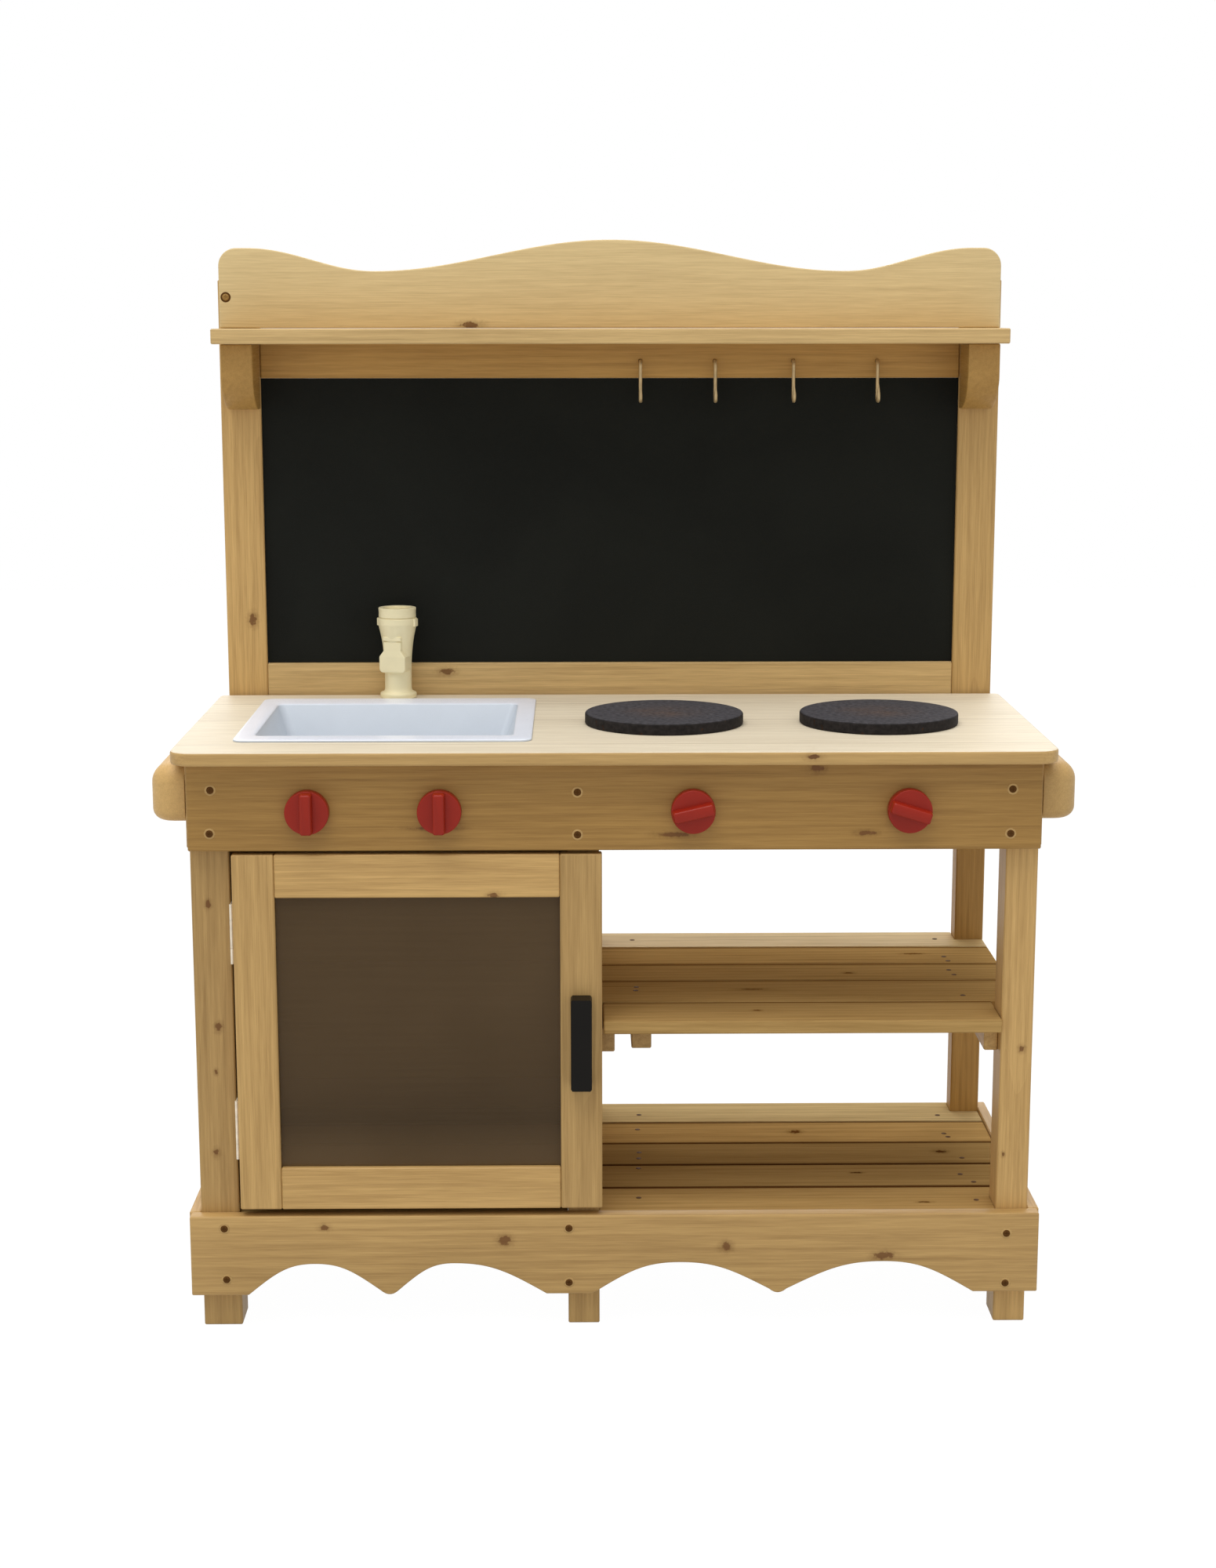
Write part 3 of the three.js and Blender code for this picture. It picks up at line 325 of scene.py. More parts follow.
def pine(
    name, grain, centre, colour, figure=1.0, marks=(), seams_and_gap_shade=(), heart=(0.031, 0.074), glint=0.3, tint=None
):
    """Planed pine under a satin stain: fine streaks drawn out along the grain over broad drifts of tone, a
    trace of growth rings from a heart beside the board, small ragged brown knots in a soft darker ring, and
    straight
    dark lines: faint ones along the worktop, and painted shade in the gaps between slats and planks with a
    soft band of painted shade beside them. A tint is a function that gives the colour to multiply the wood
    by."""
    finish, tree, shader = new_finish(name, IOR=1.5, Specular_IOR_Level=glint)
    centre = np.asarray(centre, float) * MM
    beside, under = heart
    aside = {"X": (0, beside, -under), "Y": (beside, 0, -under), "Z": (beside, under, 0)}[grain]
    wave = {"Vector": fit_to_board(tree, centre + aside, grain, (14, 1, 1)), "Distortion": 17.0}
    wave |= {"Scale": 0.1 * math.pi / sizes().ring_spacing, "Detail": 3.0}
    wave |= {"Detail Scale": 0.23, "Detail Roughness": 0.6}
    wave = add_node(tree, "TexWave", wave, "Fac", wave_type="RINGS", rings_direction="X", wave_profile="SAW")
    layers = []
    for shift, drawn_out, scale, detail, roughness in (
        (-0.007, 46, 210, 3, 0.6),
        (0, 34, 1 / sizes().fibre_width, 3, 0.62),
        (0.013, 6, 15, 2, 0.5),
    ):
        space = fit_to_board(tree, centre + shift, grain, (drawn_out, 1, 1))
        layer = {"Vector": space, "Scale": scale, "Detail": detail, "Roughness": roughness}
        layers.append(add_node(tree, "TexNoise", layer))
    streak, fibre, drift = layers
    grain_tone = 0.0
    for source, start, end, share in (
        (wave, 0.3, 1.0, 0.09 * figure),
        (streak, 0.38, 0.7, 0.3 * figure),
        (fibre, 0.3, 0.7, 0.24),
        (drift, 0.3, 0.7, 0.2 * figure),
    ):
        tone = add_node(tree, "MapRange", (source, start, end, 0.0, share))
        grain_tone = add_node(tree, "Math", (tone, grain_tone), operation="ADD")

    nearness = distance_to(tree, grain, marks)
    if nearness is not None:
        source = add_node(tree, "TexCoord", out="Object")
        ragged = add_node(tree, "TexNoise", {"Vector": source, "Scale": 260.0})
        ragged = add_node(tree, "MapRange", (ragged, *NOISE_SPAN, -0.35, 0.35))
        nearness = add_node(tree, "Math", (nearness, ragged), operation="ADD")
    # Seam lines join the marks: faint lines on the worktop, and painted shade in the gaps of the slats and
    # deck
    nearness = distance_to(tree, grain, seams_and_gap_shade, nearness)
    depth = grain_tone
    if nearness is not None:
        # A darker ring round a knot, and a band of painted shade beside a gap line
        knot_halo_and_gap_shade = add_node(tree, "MapRange", (nearness, 0.8, 2.6, 0.3, 0.0), interpolation_type="SMOOTHSTEP")
        depth = add_node(tree, "Math", (depth, knot_halo_and_gap_shade), operation="ADD")
    deep = tuple(channel * share for channel, share in zip(colour, (0.42, 0.35, 0.26)))
    wood = add_node(tree, "Mix", {"Factor": depth, 6: opaque(colour, 1.06), 7: opaque(deep)}, **MIXED)
    if nearness is not None:
        # The knot's dark core, and the gap line's painted shade, in the knot colour
        dark = add_node(tree, "MapRange", (nearness, 0.7, 1.2, 0.82, 0.0), interpolation_type="SMOOTHSTEP")
        wood = add_node(tree, "Mix", {"Factor": dark, 6: wood, 7: opaque(colours().knot)}, **MIXED)
    if tint:
        wood = add_node(tree, "Mix", {"Factor": 1.0, 6: wood, 7: tint(tree)}, **MULTIPLIED)
    rounded = add_node(tree, "Bevel", {"Radius": 1.1 * MM}, samples=4)
    relief = {"Height": grain_tone, "Normal": rounded, "Strength": 0.3, "Distance": 0.3 * MM}
    surface(tree, shader, wood, fibre, 0.42, 0.56, relief)
    return finish


def painted_shade_by_facing(tree, sides):
    """A painted shade: white where a surface faces up and the sides' own darker tint where it doesn't, as
    though light fell from above.
    """
    source = add_node(tree, "TexCoord", out="Normal")
    upward = add_node(tree, "SeparateXYZ", [source], out="Z")
    share = add_node(tree, "MapRange", (upward, 0.6, 0.95))
    return add_node(tree, "Mix", {"Factor": share, 6: opaque(sides), 7: WHITE}, **MIXED)


def tint_along(tree, axis, start, end, stops, interpolation):
    """A tint that changes along an axis. A stop is its share of the way from start to end, and its colour."""
    source = add_node(tree, "TexCoord", out="Object")
    along = add_node(tree, "SeparateXYZ", [source], out=axis)
    steps = add_node(tree, "ValToRGB", [add_node(tree, "MapRange", (along, start, end))])
    ramp = steps.node.color_ramp
    ramp.interpolation = interpolation
    for rank, (place, tone) in enumerate(stops):
        stop = ramp.elements[rank] if rank < 2 else ramp.elements.new(1)
        stop.position = place
        stop.color = opaque(tone)
    return steps


def moulded(name, colour, roughness, grit_mm, mottle, glint=0.5, sides=None):
    """Moulded plastic: an even colour with a barely seen mottle, and the fine grit of the mould that softens
    its highlights."""
    finish, tree, shader = new_finish(name, IOR=1.49, Specular_IOR_Level=glint)
    source = add_node(tree, "TexCoord", out="Object")
    grit = add_node(tree, "TexNoise", {"Vector": source, "Scale": 1 / (grit_mm * MM)})
    tint = clouded(tree, source, colour, 1 + mottle, 1 - mottle, 34.0)
    # Faces that don't look up take the sides' darker tint: painted shade
    if sides:
        facing = painted_shade_by_facing(tree, sides)
        tint = add_node(tree, "Mix", {"Factor": 1.0, 6: tint, 7: facing}, **MULTIPLIED)
    relief = {"Height": grit, "Strength": 0.12, "Distance": 0.08 * MM}
    surface(tree, shader, tint, grit, roughness - 0.04, roughness + 0.06, relief)
    return finish


def plated(name, colour, roughness, metallic, glint=0.5):
    """Coated steel: faint drawing lines and a cloudy bloom in its polish. A thick coat isn't metallic."""
    finish, tree, shader = new_finish(name, Metallic=metallic, Specular_IOR_Level=glint)
    source = add_node(tree, "TexCoord", out="Object")
    drawn = add_node(tree, "Mapping", {"Vector": source, "Scale": (1, 1, 9)}, vector_type="TEXTURE")
    scratch = 0.6 * MM
    lines = add_node(tree, "TexNoise", {"Vector": drawn, "Scale": 1 / scratch})
    tint = clouded(tree, source, colour, 1.0, 0.8, 160.0)
    surface(tree, shader, tint, lines, roughness - 0.06, roughness + 0.1)
    return finish


def chalkboard_paint():
    """Chalkboard paint rolled on hardboard: matt black with a fine stipple and a faint cloud of chalk."""
    finish, tree, shader = new_finish("matt_chalkboard_paint", IOR=1.5, Specular_IOR_Level=0.15)
    source = add_node(tree, "TexCoord", out="Object")
    stipple = add_node(tree, "TexNoise", {"Vector": source, "Scale": 700.0, "Detail": 3.0})
    tint = clouded(tree, source, colours().chalkboard, 1.0, 1.45, 7.0, 5.0, 0.6, (0.35, 0.8))
    relief = {"Height": stipple, "Strength": 0.2, "Distance": 0.15 * MM}
    surface(tree, shader, tint, stipple, 0.78, 0.92, relief)
    return finish


def hob_paint(name, centre):
    """Black paint on a wooden disc: matt and speckled, rubbed brown towards the middle, its edge darkened
    with painted shade, and with a rare small chip on its rim. The speckle is drawn as coarse as it shows."""
    finish, tree, shader = new_finish(name, IOR=1.5, Specular_IOR_Level=0.12)
    source = add_node(tree, "TexCoord", out="Object")
    place = {"Vector": source, "Location": tuple(centre * MM)}
    place = add_node(tree, "Mapping", place, vector_type="TEXTURE")
    distance = add_node(tree, "VectorMath", [place], out="Value", operation="LENGTH")
    rub = {"Vector": place, "Scale": 24.0, "Detail": 5.0, "Roughness": 0.6, "Distortion": 0.4}
    rub = add_node(tree, "TexNoise", rub)
    near = (distance, 0.0, sizes().hob_worn_radius, 0.75, 0.0)
    near = add_node(tree, "MapRange", near, interpolation_type="SMOOTHSTEP")
    rubbed = add_node(tree, "MapRange", (rub, 0.35, 0.65, 0.2))
    share = add_node(tree, "Math", (near, rubbed), operation="MULTIPLY")
    paint = {6: opaque(colours().hob), 7: opaque(colours().hob_worn)}
    tint = add_node(tree, "Mix", {"Factor": share, **paint}, **MIXED)

    chip = add_node(tree, "TexNoise", {"Vector": place, "Scale": 120.0, "Detail": 3.0})
    rim = add_node(tree, "MapRange", (distance, 82.5 * MM, 85.5 * MM, 0.0, 0.16))
    chipped = add_node(tree, "Math", (chip, rim), operation="ADD")
    bare = add_node(tree, "MapRange", (chipped, 0.79, 0.83, 0.0, 0.7))
    tint = add_node(tree, "Mix", {"Factor": bare, 6: tint, 7: opaque(colours().knot)}, **MIXED)

    speckle = add_node(tree, "TexNoise", {"Vector": place, "Scale": 210.0, "Detail": 4.0})
    dull = add_node(tree, "MapRange", (speckle, 0.35, 0.65, 1.4, 0.7))
    # The speckle dulls the paint, and the dark tint on the sides is painted shade
    for factor in (dull, painted_shade_by_facing(tree, (0.3, 0.27, 0.24))):
        tint = add_node(tree, "Mix", {"Factor": 1.0, 6: tint, 7: factor}, **MULTIPLIED)
    surface(tree, shader, tint, rub, 0.62, 0.8, {"Height": rub, "Strength": 0.15, "Distance": 0.2 * MM})
    return finish


def smoked_sheet():
    """Smoke-brown acrylic sheet: it lets a dim brown view of the cupboard through. Its height carries painted
    light
    and shade of the cupboard inside: lightest at its foot, where the lit floor shows, over a darker band."""
    finish, tree, shader = new_finish("smoked_acrylic_sheet", IOR=1.49, Alpha=0.62, Specular_IOR_Level=0.2)
    source = add_node(tree, "TexCoord", out="Object")
    cloud = add_node(tree, "TexNoise", {"Vector": source, "Scale": 9.0, "Detail": 3.0})
    smoke = {6: opaque(colours().pane, 1.1), 7: opaque(colours().pane, 0.85)}
    tint = add_node(tree, "Mix", {"Factor": cloud, **smoke}, **MIXED)
    foot, head = node_box("door_rail_bottom")[1][2] * MM, node_box("door_rail_top")[0][2] * MM
    # Lighter at the foot and darker in a band above: painted light and shade of the cupboard inside
    levels = ((0, 1), (0.09, 0.78), (0.17, 0.56), (0.34, 0.69), (0.62, 0.79))
    painted_inside_light = [(place, (level,) * 3) for place, level in levels]
    painted_inside_light = tint_along(tree, "Z", foot, head, painted_inside_light, "LINEAR")
    tint = add_node(tree, "Mix", {"Factor": 1.0, 6: tint, 7: painted_inside_light}, **MULTIPLIED)
    surface(tree, shader, tint, cloud, 0.12, 0.2)
    return finish


def dress(name, finish):
    """Gives a carried-over CAD node its finish."""
    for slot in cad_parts[name].material_slots:
        slot.material = finish


# The boards that stay as they are in the CAD, with their grain's direction, their tone and its level
STRAIGHT_BOARDS = (
    ("Z", "honey", 0.9, "leg_front_left"),
    ("Z", "honey", 0.94, "leg_front_middle"),
    ("Z", "honey", 1.14, "leg_front_right"),
    ("Z", "umber", 1.13, "leg_back_left", "leg_back_middle", "leg_back_right"),
    ("Z", "honey", 1.17, "frame_stile_left"),
    ("Z", "honey", 1.07, "frame_stile_right", "door_stile_left"),
    ("Z", "honey", 0.93, "door_stile_right"),
    ("X", "umber", 0.9, "control_panel"),
    ("X", "wheat", 1.15, "frame_rail_bottom", "top_shelf"),
    # Umber on the top rail is painted shade under the shelf
    ("X", "umber", 1.2, "frame_rail_top"),
    ("X", "honey", 0.85, "rear_apron"),
    ("X", "honey", 0.9, "cabinet_back_panel"),
    ("X", "honey", 1.13, "door_rail_bottom"),
    ("X", "honey", 1.17, "door_rail_top"),
    ("Y", "honey", 0.95, "side_apron_left", "side_apron_right"),
    ("Y", "honey", 0.98, "side_plinth_left", "side_plinth_right", "cabinet_side_panel"),
    ("Y", "honey", 0.9, "cabinet_divider", "shelf_cleat_left", "shelf_bearer"),
    ("Y", "honey", 1.15, "shelf_cleat_right"),
)
# The knots on each board's front: place across, height, radius and how many times longer along the grain
KNOTS = {
    "leg_front_left": (
        (-418, 458, 2.6, 1.4), (-411, 327, 3.2, 1.3), (-415, 279, 1.6, 1.6), (-417, 191, 2.6, 1.4),
    ),
    "leg_front_right": ((424, 300, 2.6, 1.2), (408, 185, 1.4, 1.6)),
    "frame_stile_left": ((-411, 708, 4, 1.5),),
    "control_panel": ((205, 601, 3.4, 2), (60, 533, 2.2, 6), (256, 534, 2.2, 4), (-186, 540, 1.5, 12)),
    "frame_rail_bottom": ((-189, 647, 3.4, 2.2),),
    "door_rail_top": ((-124, 470, 2.4, 2.5),),
    "worktop": ((199, 615.7, 2.4, 2.5),),
    "crest_board": ((-157, 1041, 3.6, 2.6),),
    "plinth_front": ((-304, 114, 2.8, 1.6), (-115.5, 99, 4.2, 1.4), (116, 91, 4, 1.3), (282, 80, 3.6, 2.4)),
}
# The slats of the shelf with their gloss, and the planks of the deck, from front to back. They are bare,
# rough-sawn pine, so they have next to no gloss. A flat knot is its place across, how far back of the plank's
# middle it is, its radius and how many times longer it is along the grain.
# The rear slat and rear plank are made lighter as painted light from behind; the others' levels are partly
# their own tone and partly painted light falling off towards the middle
SLATS = (
    ("honey", 0.86, 0, (150, 4, 2, 2)),
    ("honey", 0.92, 0, (150, 6, 2, 6)),
    ("honey", 0.94, 0, (262, -6, 2.5, 2)),
    ("honey", 1.06, 0, (345, 5, 2.5, 4)),
    ("straw", 1.4, 0.06),
)
DECK_PLANKS = (
    ("honey", 0.88, (330, -12, 2, 3)),
    ("honey", 0.72, (268, 8, 2, 3)),
    ("honey", 0.69, (370, 4, 4, 1.5)),
    ("honey", 1.02, (212, 2, 5, 1.2)),
    ("straw", 1.15),
)


def toned(tone, level):
    """One of the pine's colours times a level."""
    return tuple(level * channel for channel in getattr(colours(), tone))


def wood_for(name, grain, tone, level, figure=1.0, seams_and_gap_shade=(), glint=0.3, tint=None, flat=()):
    """Pine for one board, centred on it, with a heart that differs from board to board. Its flat knots and
    its
    seam lines are on its upper face: faint lines on the worktop, painted shade in the gaps of slats and
    planks. A seam is a place front to back and a reach."""
    low, high = node_box(name)
    place = sum(ord(letter) * (rank + 3) for rank, letter in enumerate(name))
    heart = (0.02 + place % 7 * 0.006, 0.05 + place % 11 * 0.006)
    colour = toned(tone, level) if tone else (1, 1, 1)
    # A knot goes deep into its board, and a seam runs on past the board's ends but is shallow
    deep, long, shallow = 40, 3000, 3
    knots = KNOTS.get(name, ())
    marks = [((across, low[1], up), (size * drawn, deep, size)) for across, up, size, drawn in knots]
    marks += [((across, back, high[2]), (size * drawn, size, deep)) for across, back, size, drawn in flat]
    lines = [((0, back, high[2]), (long, reach, shallow)) for back, reach in seams_and_gap_shade]
    return pine(f"pine_{name}", grain, (low + high) / 2, colour, figure, marks, lines, heart, glint, tint)


def curved_board(name, made, grain, along, lower, upper, tone, level, figure=1.0):
    """A board with a curved lower or upper edge in place of a straight one of the CAD. At each place along it
    the section is a rectangle with rounded corners, and within ease of either end it draws in by
    ease - sqrt(ease^2 - (ease - gap)^2)."""
    low, high = node_box(name)
    side, axes = (1, (2, 0, 1)) if grain == "X" else (0, (0, 2, 1))
    ease = sizes().eased_edge / MM
    gap = np.minimum(along - along[0], along[-1] - along)
    inset = ease - np.sqrt(np.clip(ease**2 - np.clip(ease - gap, 0, None) ** 2, 0, None))
    radius = np.maximum(ease - inset, 0.02)[:, None]
    near, far = low[side] + inset, high[side] - inset
    section = rounded_rings(near, far, lower + inset, upper - inset, along, radius, 5)
    board = shell(section[:, :, axes])
    piece(made, [board], "carcass", wood_for(name, grain, tone, level, figure), [name])


class KITCHEN_OT_boards(bpy.types.Operator):
    """Stain the straight boards that keep their CAD shape"""

    bl_idname = "kitchen.boards"
    bl_label = "Straight boards"

    def execute(self, context):
        for grain, tone, level, *names in STRAIGHT_BOARDS:
            for name in names:
                dress(name, wood_for(name, grain, tone, level))
        for number, (tone, level, glint, *knots) in enumerate(SLATS, 1):
            name = f"shelf_slat_{number}"
            low, high = node_box(name)
            flat = [(across, (low[1] + high[1]) / 2 + off, *size) for across, off, *size in knots]
            # A dark line at each slat's rear edge, all but the last, is painted shade in the gap to the next
            slat_gap_shade = 4
            seams_and_gap_shade = ((high[1], slat_gap_shade),) if number < len(SLATS) else ()
            dress(name, wood_for(name, "X", tone, level, seams_and_gap_shade=seams_and_gap_shade, glint=glint, flat=flat))
        low, high = node_box("floor_deck")
        pitch = (high[1] - low[1]) / len(DECK_PLANKS)
        # Dark lines between the planks are painted shade in their gaps
        deck_gap_shade = 2.8
        tones, flat, seams_and_gap_shade = [], [], []
        for rank, (tone, level, *knots) in enumerate(DECK_PLANKS):
            front = low[1] + rank * pitch
            tones.append((rank / len(DECK_PLANKS), toned(tone, level)))
            flat += [(across, front + pitch / 2 + off, *size) for across, off, *size in knots]
            seams_and_gap_shade.append((front, deck_gap_shade))

        def planks(tree):
            return tint_along(tree, "Y", low[1] * MM, high[1] * MM, tones, "CONSTANT")

        wood = wood_for("floor_deck", "X", None, 1.0, seams_and_gap_shade=seams_and_gap_shade[1:], glint=0, tint=planks, flat=flat)
        dress("floor_deck", wood)
        return {"FINISHED"}


class KITCHEN_OT_worktop(bpy.types.Operator):
    """Finish the worktop, its upper face lighter than its tan sides with painted overhead light"""

    bl_idname = "kitchen.worktop"
    bl_label = "Worktop"

    def execute(self, context):
        tan = tuple(0.95 * honey / pale for honey, pale in zip(colours().honey, colours().pale))
        seams_and_gap_shade = ((116, 0.3), (2, 0.3), (-153, 0.3))

        # The upper face keeps the light colour and the sides turn tan: painted overhead light on the top
        def sides(tree):
            return painted_shade_by_facing(tree, tan)

        dress("worktop", wood_for("worktop", "X", "pale", 1.0, 0.6, seams_and_gap_shade, tint=sides))
        return {"FINISHED"}


CREST_CORNER = 20


def crest_edge(across, side, head):
    """Height of the crest's upper edge: half a cosine wave from the peak to the valley, another up to the
    end's flat, and a quarter circle round the corner."""
    valley, drop, end_drop, end_flat, corner = 0.602 * side, 34.3, 9, 13, CREST_CORNER
    end_start = side - corner - end_flat
    distance = np.abs(across)
    fall = (1 - np.cos(np.pi * distance / valley)) / 2
    rise = (1 - np.cos(np.pi * np.clip((distance - valley) / (end_start - valley), 0, 1))) / 2
    height = np.where(distance < valley, head - drop * fall, head - drop + (drop - end_drop) * rise)
    round_off = np.clip(distance - (side - corner), 0, corner)
    return height - corner + np.sqrt(corner**2 - round_off**2)


class KITCHEN_OT_crest(bpy.types.Operator):
    """Make the waved crest board"""

    bl_idname = "kitchen.crest"
    bl_label = "Crest board"

    def execute(self, context):
        low, high = node_box("crest_board")
        side = high[0]
        straight = side - CREST_CORNER
        swing = CREST_CORNER * np.sin(np.linspace(0, math.pi / 2, 12))
        inner = np.linspace(-straight, straight, 150)
        along = with_ends(np.concatenate([-straight - swing, inner, straight + swing]), -side, side)
        upper = crest_edge(along, side, high[2])
        curved_board("crest_board", "crest_board_waved", "X", along, low[2], upper, "straw", 1.16, 0.45)
        return {"FINISHED"}


def scalloped_edge(side, foot, crown):
    """Lower edge of the front plinth. Each scallop is two cubic curves that meet at its crown, and a pair
    meets in a small rounded tip that is one quadratic curve."""
    t = np.linspace(0, 1, 22)[:, None]
    reach, tip = 9, 4
    # Shares of the half width where a scallop starts, peaks and ends, and whether either end meets a tip
    scallops = (
        (-0.866, -0.709, -0.533, 0, 1),
        (-0.533, -0.381, -0.162, 1, 0),
        (-0.053, 0.151, 0.385, 0, 1),
        (0.385, 0.633, 0.848, 1, 0),
    )
    line = [[[-side, foot]]]
    for start, peak, end, tip_first, tip_last in scallops:
        first = np.array([start * side + tip_first * reach, foot + tip_first * tip])
        last = np.array([end * side - tip_last * reach, foot + tip_last * tip])
        top = np.array([peak * side, crown])
        rise, fall = top - first, top - last
        controls = (
            (first, first + rise * (0.42, 0.72), top - (0.4 * rise[0], 0), top),
            (top, top - (0.4 * fall[0], 0), last + fall * (0.42, 0.72), last),
        )
        for a, b, c, d in controls:
            line.append((1 - t) ** 3 * a + 3 * t * (1 - t) ** 2 * b + 3 * t**2 * (1 - t) * c + t**3 * d)
        if tip_last:
            point = np.array([end * side, foot - tip])
            on = np.array([end * side + reach, foot + tip])
            line.append((1 - t) ** 2 * last + 2 * t * (1 - t) * point + t**2 * on)
    line.append([[side, foot]])
    return np.concatenate(line)


class KITCHEN_OT_plinth(bpy.types.Operator):
    """Make the scalloped front plinth"""

    bl_idname = "kitchen.plinth"
    bl_label = "Front plinth"

    def execute(self, context):
        low, high = node_box("plinth_front")
        scallop = 34
        edge = scalloped_edge(high[0], low[2], low[2] + scallop)
        along = with_ends(edge[:, 0], low[0], high[0])
        lower = np.interp(along, edge[:, 0], edge[:, 1])
        curved_board("plinth_front", "plinth_scalloped", "X", along, lower, high[2], "honey", 0.98)
        return {"FINISHED"}


class KITCHEN_OT_brackets(bpy.types.Operator):
    """Make the two curved brackets under the top shelf"""

    bl_idname = "kitchen.brackets"
    bl_label = "Shelf brackets"

    def execute(self, context):
        for name in ("bracket_left", "bracket_right"):
            low, high = node_box(name)
            t = np.linspace(0, 1, 40)[:, None]
            # The lower edge is a quadratic curve from the nose round the knee to a flat foot
            nose = np.array([low[1], high[2] - 35])
            knee = np.array([low[1] + 7, low[2] + 7])
            foot = np.array([high[1] - 15, low[2]])
            curve = (1 - t) ** 2 * nose + 2 * t * (1 - t) * knee + t**2 * foot
            curve = np.concatenate([curve, [[high[1], low[2]]]])
            along = with_ends(curve[:, 0], low[1], high[1])
            lower = np.interp(along, curve[:, 0], curve[:, 1])
            # Umber on the brackets is painted shade under the shelf
            curved_board(name, f"{name}_curved", "Y", along, lower, high[2], "umber", 1.0, 0.6)
        return {"FINISHED"}


class KITCHEN_OT_side_rails(bpy.types.Operator):
    """Make the two round-edged bars under the worktop's ends"""

    bl_idname = "kitchen.side_rails"
    bl_label = "Side rails"

    def execute(self, context):
        for name, mirror in (("side_rail_right", 1), ("side_rail_left", -1)):
            low, high = node_box(name)
            inner, outer = (low[0], high[0]) if mirror > 0 else (-high[0], -low[0])
            angle = np.linspace(0, math.pi / 2, 12)
            # Radii of the lower edge, the upper edge, the outer corners seen from above and the inner ones
            under, over, outside, inside = 12, 20, 24, 0.4
            inset = np.concatenate([under * (1 - np.sin(angle)), over * (1 - np.cos(angle))])
            height = [low[2] + under * (1 - np.cos(angle)), high[2] - over * (1 - np.sin(angle))]
            corner = np.maximum(outside - inset, 3)
            square = np.full_like(corner, inside)
            radii = np.stack([corner, square, square, corner], -1)
            near, far = low[1] + inset, high[1] - inset
            rings = rounded_rings(inner, outer - inset, near, far, np.concatenate(height), radii, 12)
            rings[:, :, 0] *= mirror
            wood = wood_for(name, "Y", "honey", 1.0 - 0.1 * mirror, 0.4)
            piece(f"{name}_rounded", [shell(rings)], "carcass", wood, [name])
        return {"FINISHED"}


class KITCHEN_OT_basin(bpy.types.Operator):
    """Make the drop-in basin"""

    bl_idname = "kitchen.basin"
    bl_label = "Basin"

    def execute(self, context):
        low, high = node_box("basin")
        rim = np.array([low[0], high[0], low[1], high[1]])
        # The opening is in from the rim's left, right, front and rear edge by these
        opening = rim + (19.4, -19.4, 32.4, -39.5)
        foot, top = low[2], high[2]
        # Columns: share of the way from the opening to the rim's edge, growth, corner radius, height
        profile = eased([
            (0, -60, 8, foot),
            (0, 3 - 30, 15, foot),
            (0, 3, 11, top - 2.4),
            (1, 0, 12, top - 2.4),
            (1, 0, 12, top),
            (0, 0, 8, top),
            (0, -30, 12, foot + 3),
            (0, -60, 8, foot + 3),
        ], (0, 19, 1.2, 0, 1.2, 2.4, 22, 0), 9)
        share, growth, radius, height = profile.T
        grown = growth[:, None] * (-1, 1, -1, 1)
        limits = opening + share[:, None] * (rim - opening) + grown
        rings = rounded_rings(*limits.T, height, radius[:, None], 14)
        # The basin's walls are darker than its rim: painted shade
        shade, finish = (0.65, 0.68, 0.68), "moulded_polypropylene_pale_blue"
        blue = moulded(finish, colours().lavender, 0.3, 0.6, 0.02, sides=shade)
        piece("basin_moulded", [shell(rings)], "basin", blue, ["basin"])
        return {"FINISHED"}


class KITCHEN_OT_hobs(bpy.types.Operator):
    """Make the two painted hob plates"""

    bl_idname = "kitchen.hobs"
    bl_label = "Hob plates"

    def execute(self, context):
        for name in ("hob_plate_1", "hob_plate_2"):
            low, high = node_box(name)
            centre = np.append((low + high)[:2] / 2, low[2])
            radius, thickness = (high[0] - low[0]) / 2, high[2] - low[2]
            profile = eased([(0, 0), (radius, 0), (radius, thickness), (0, thickness)], (0, 1.5, 2.6, 0), 8)
            paint = hob_paint(f"worn_black_paint_{name}", centre + (0, 0, thickness))
            disc = turned(profile, centre, around=96)
            piece(f"{name}_painted", [disc], "carcass", paint, [name])
        return {"FINISHED"}


# How many degrees the spout is turned at rest
TAP_TURN = -18


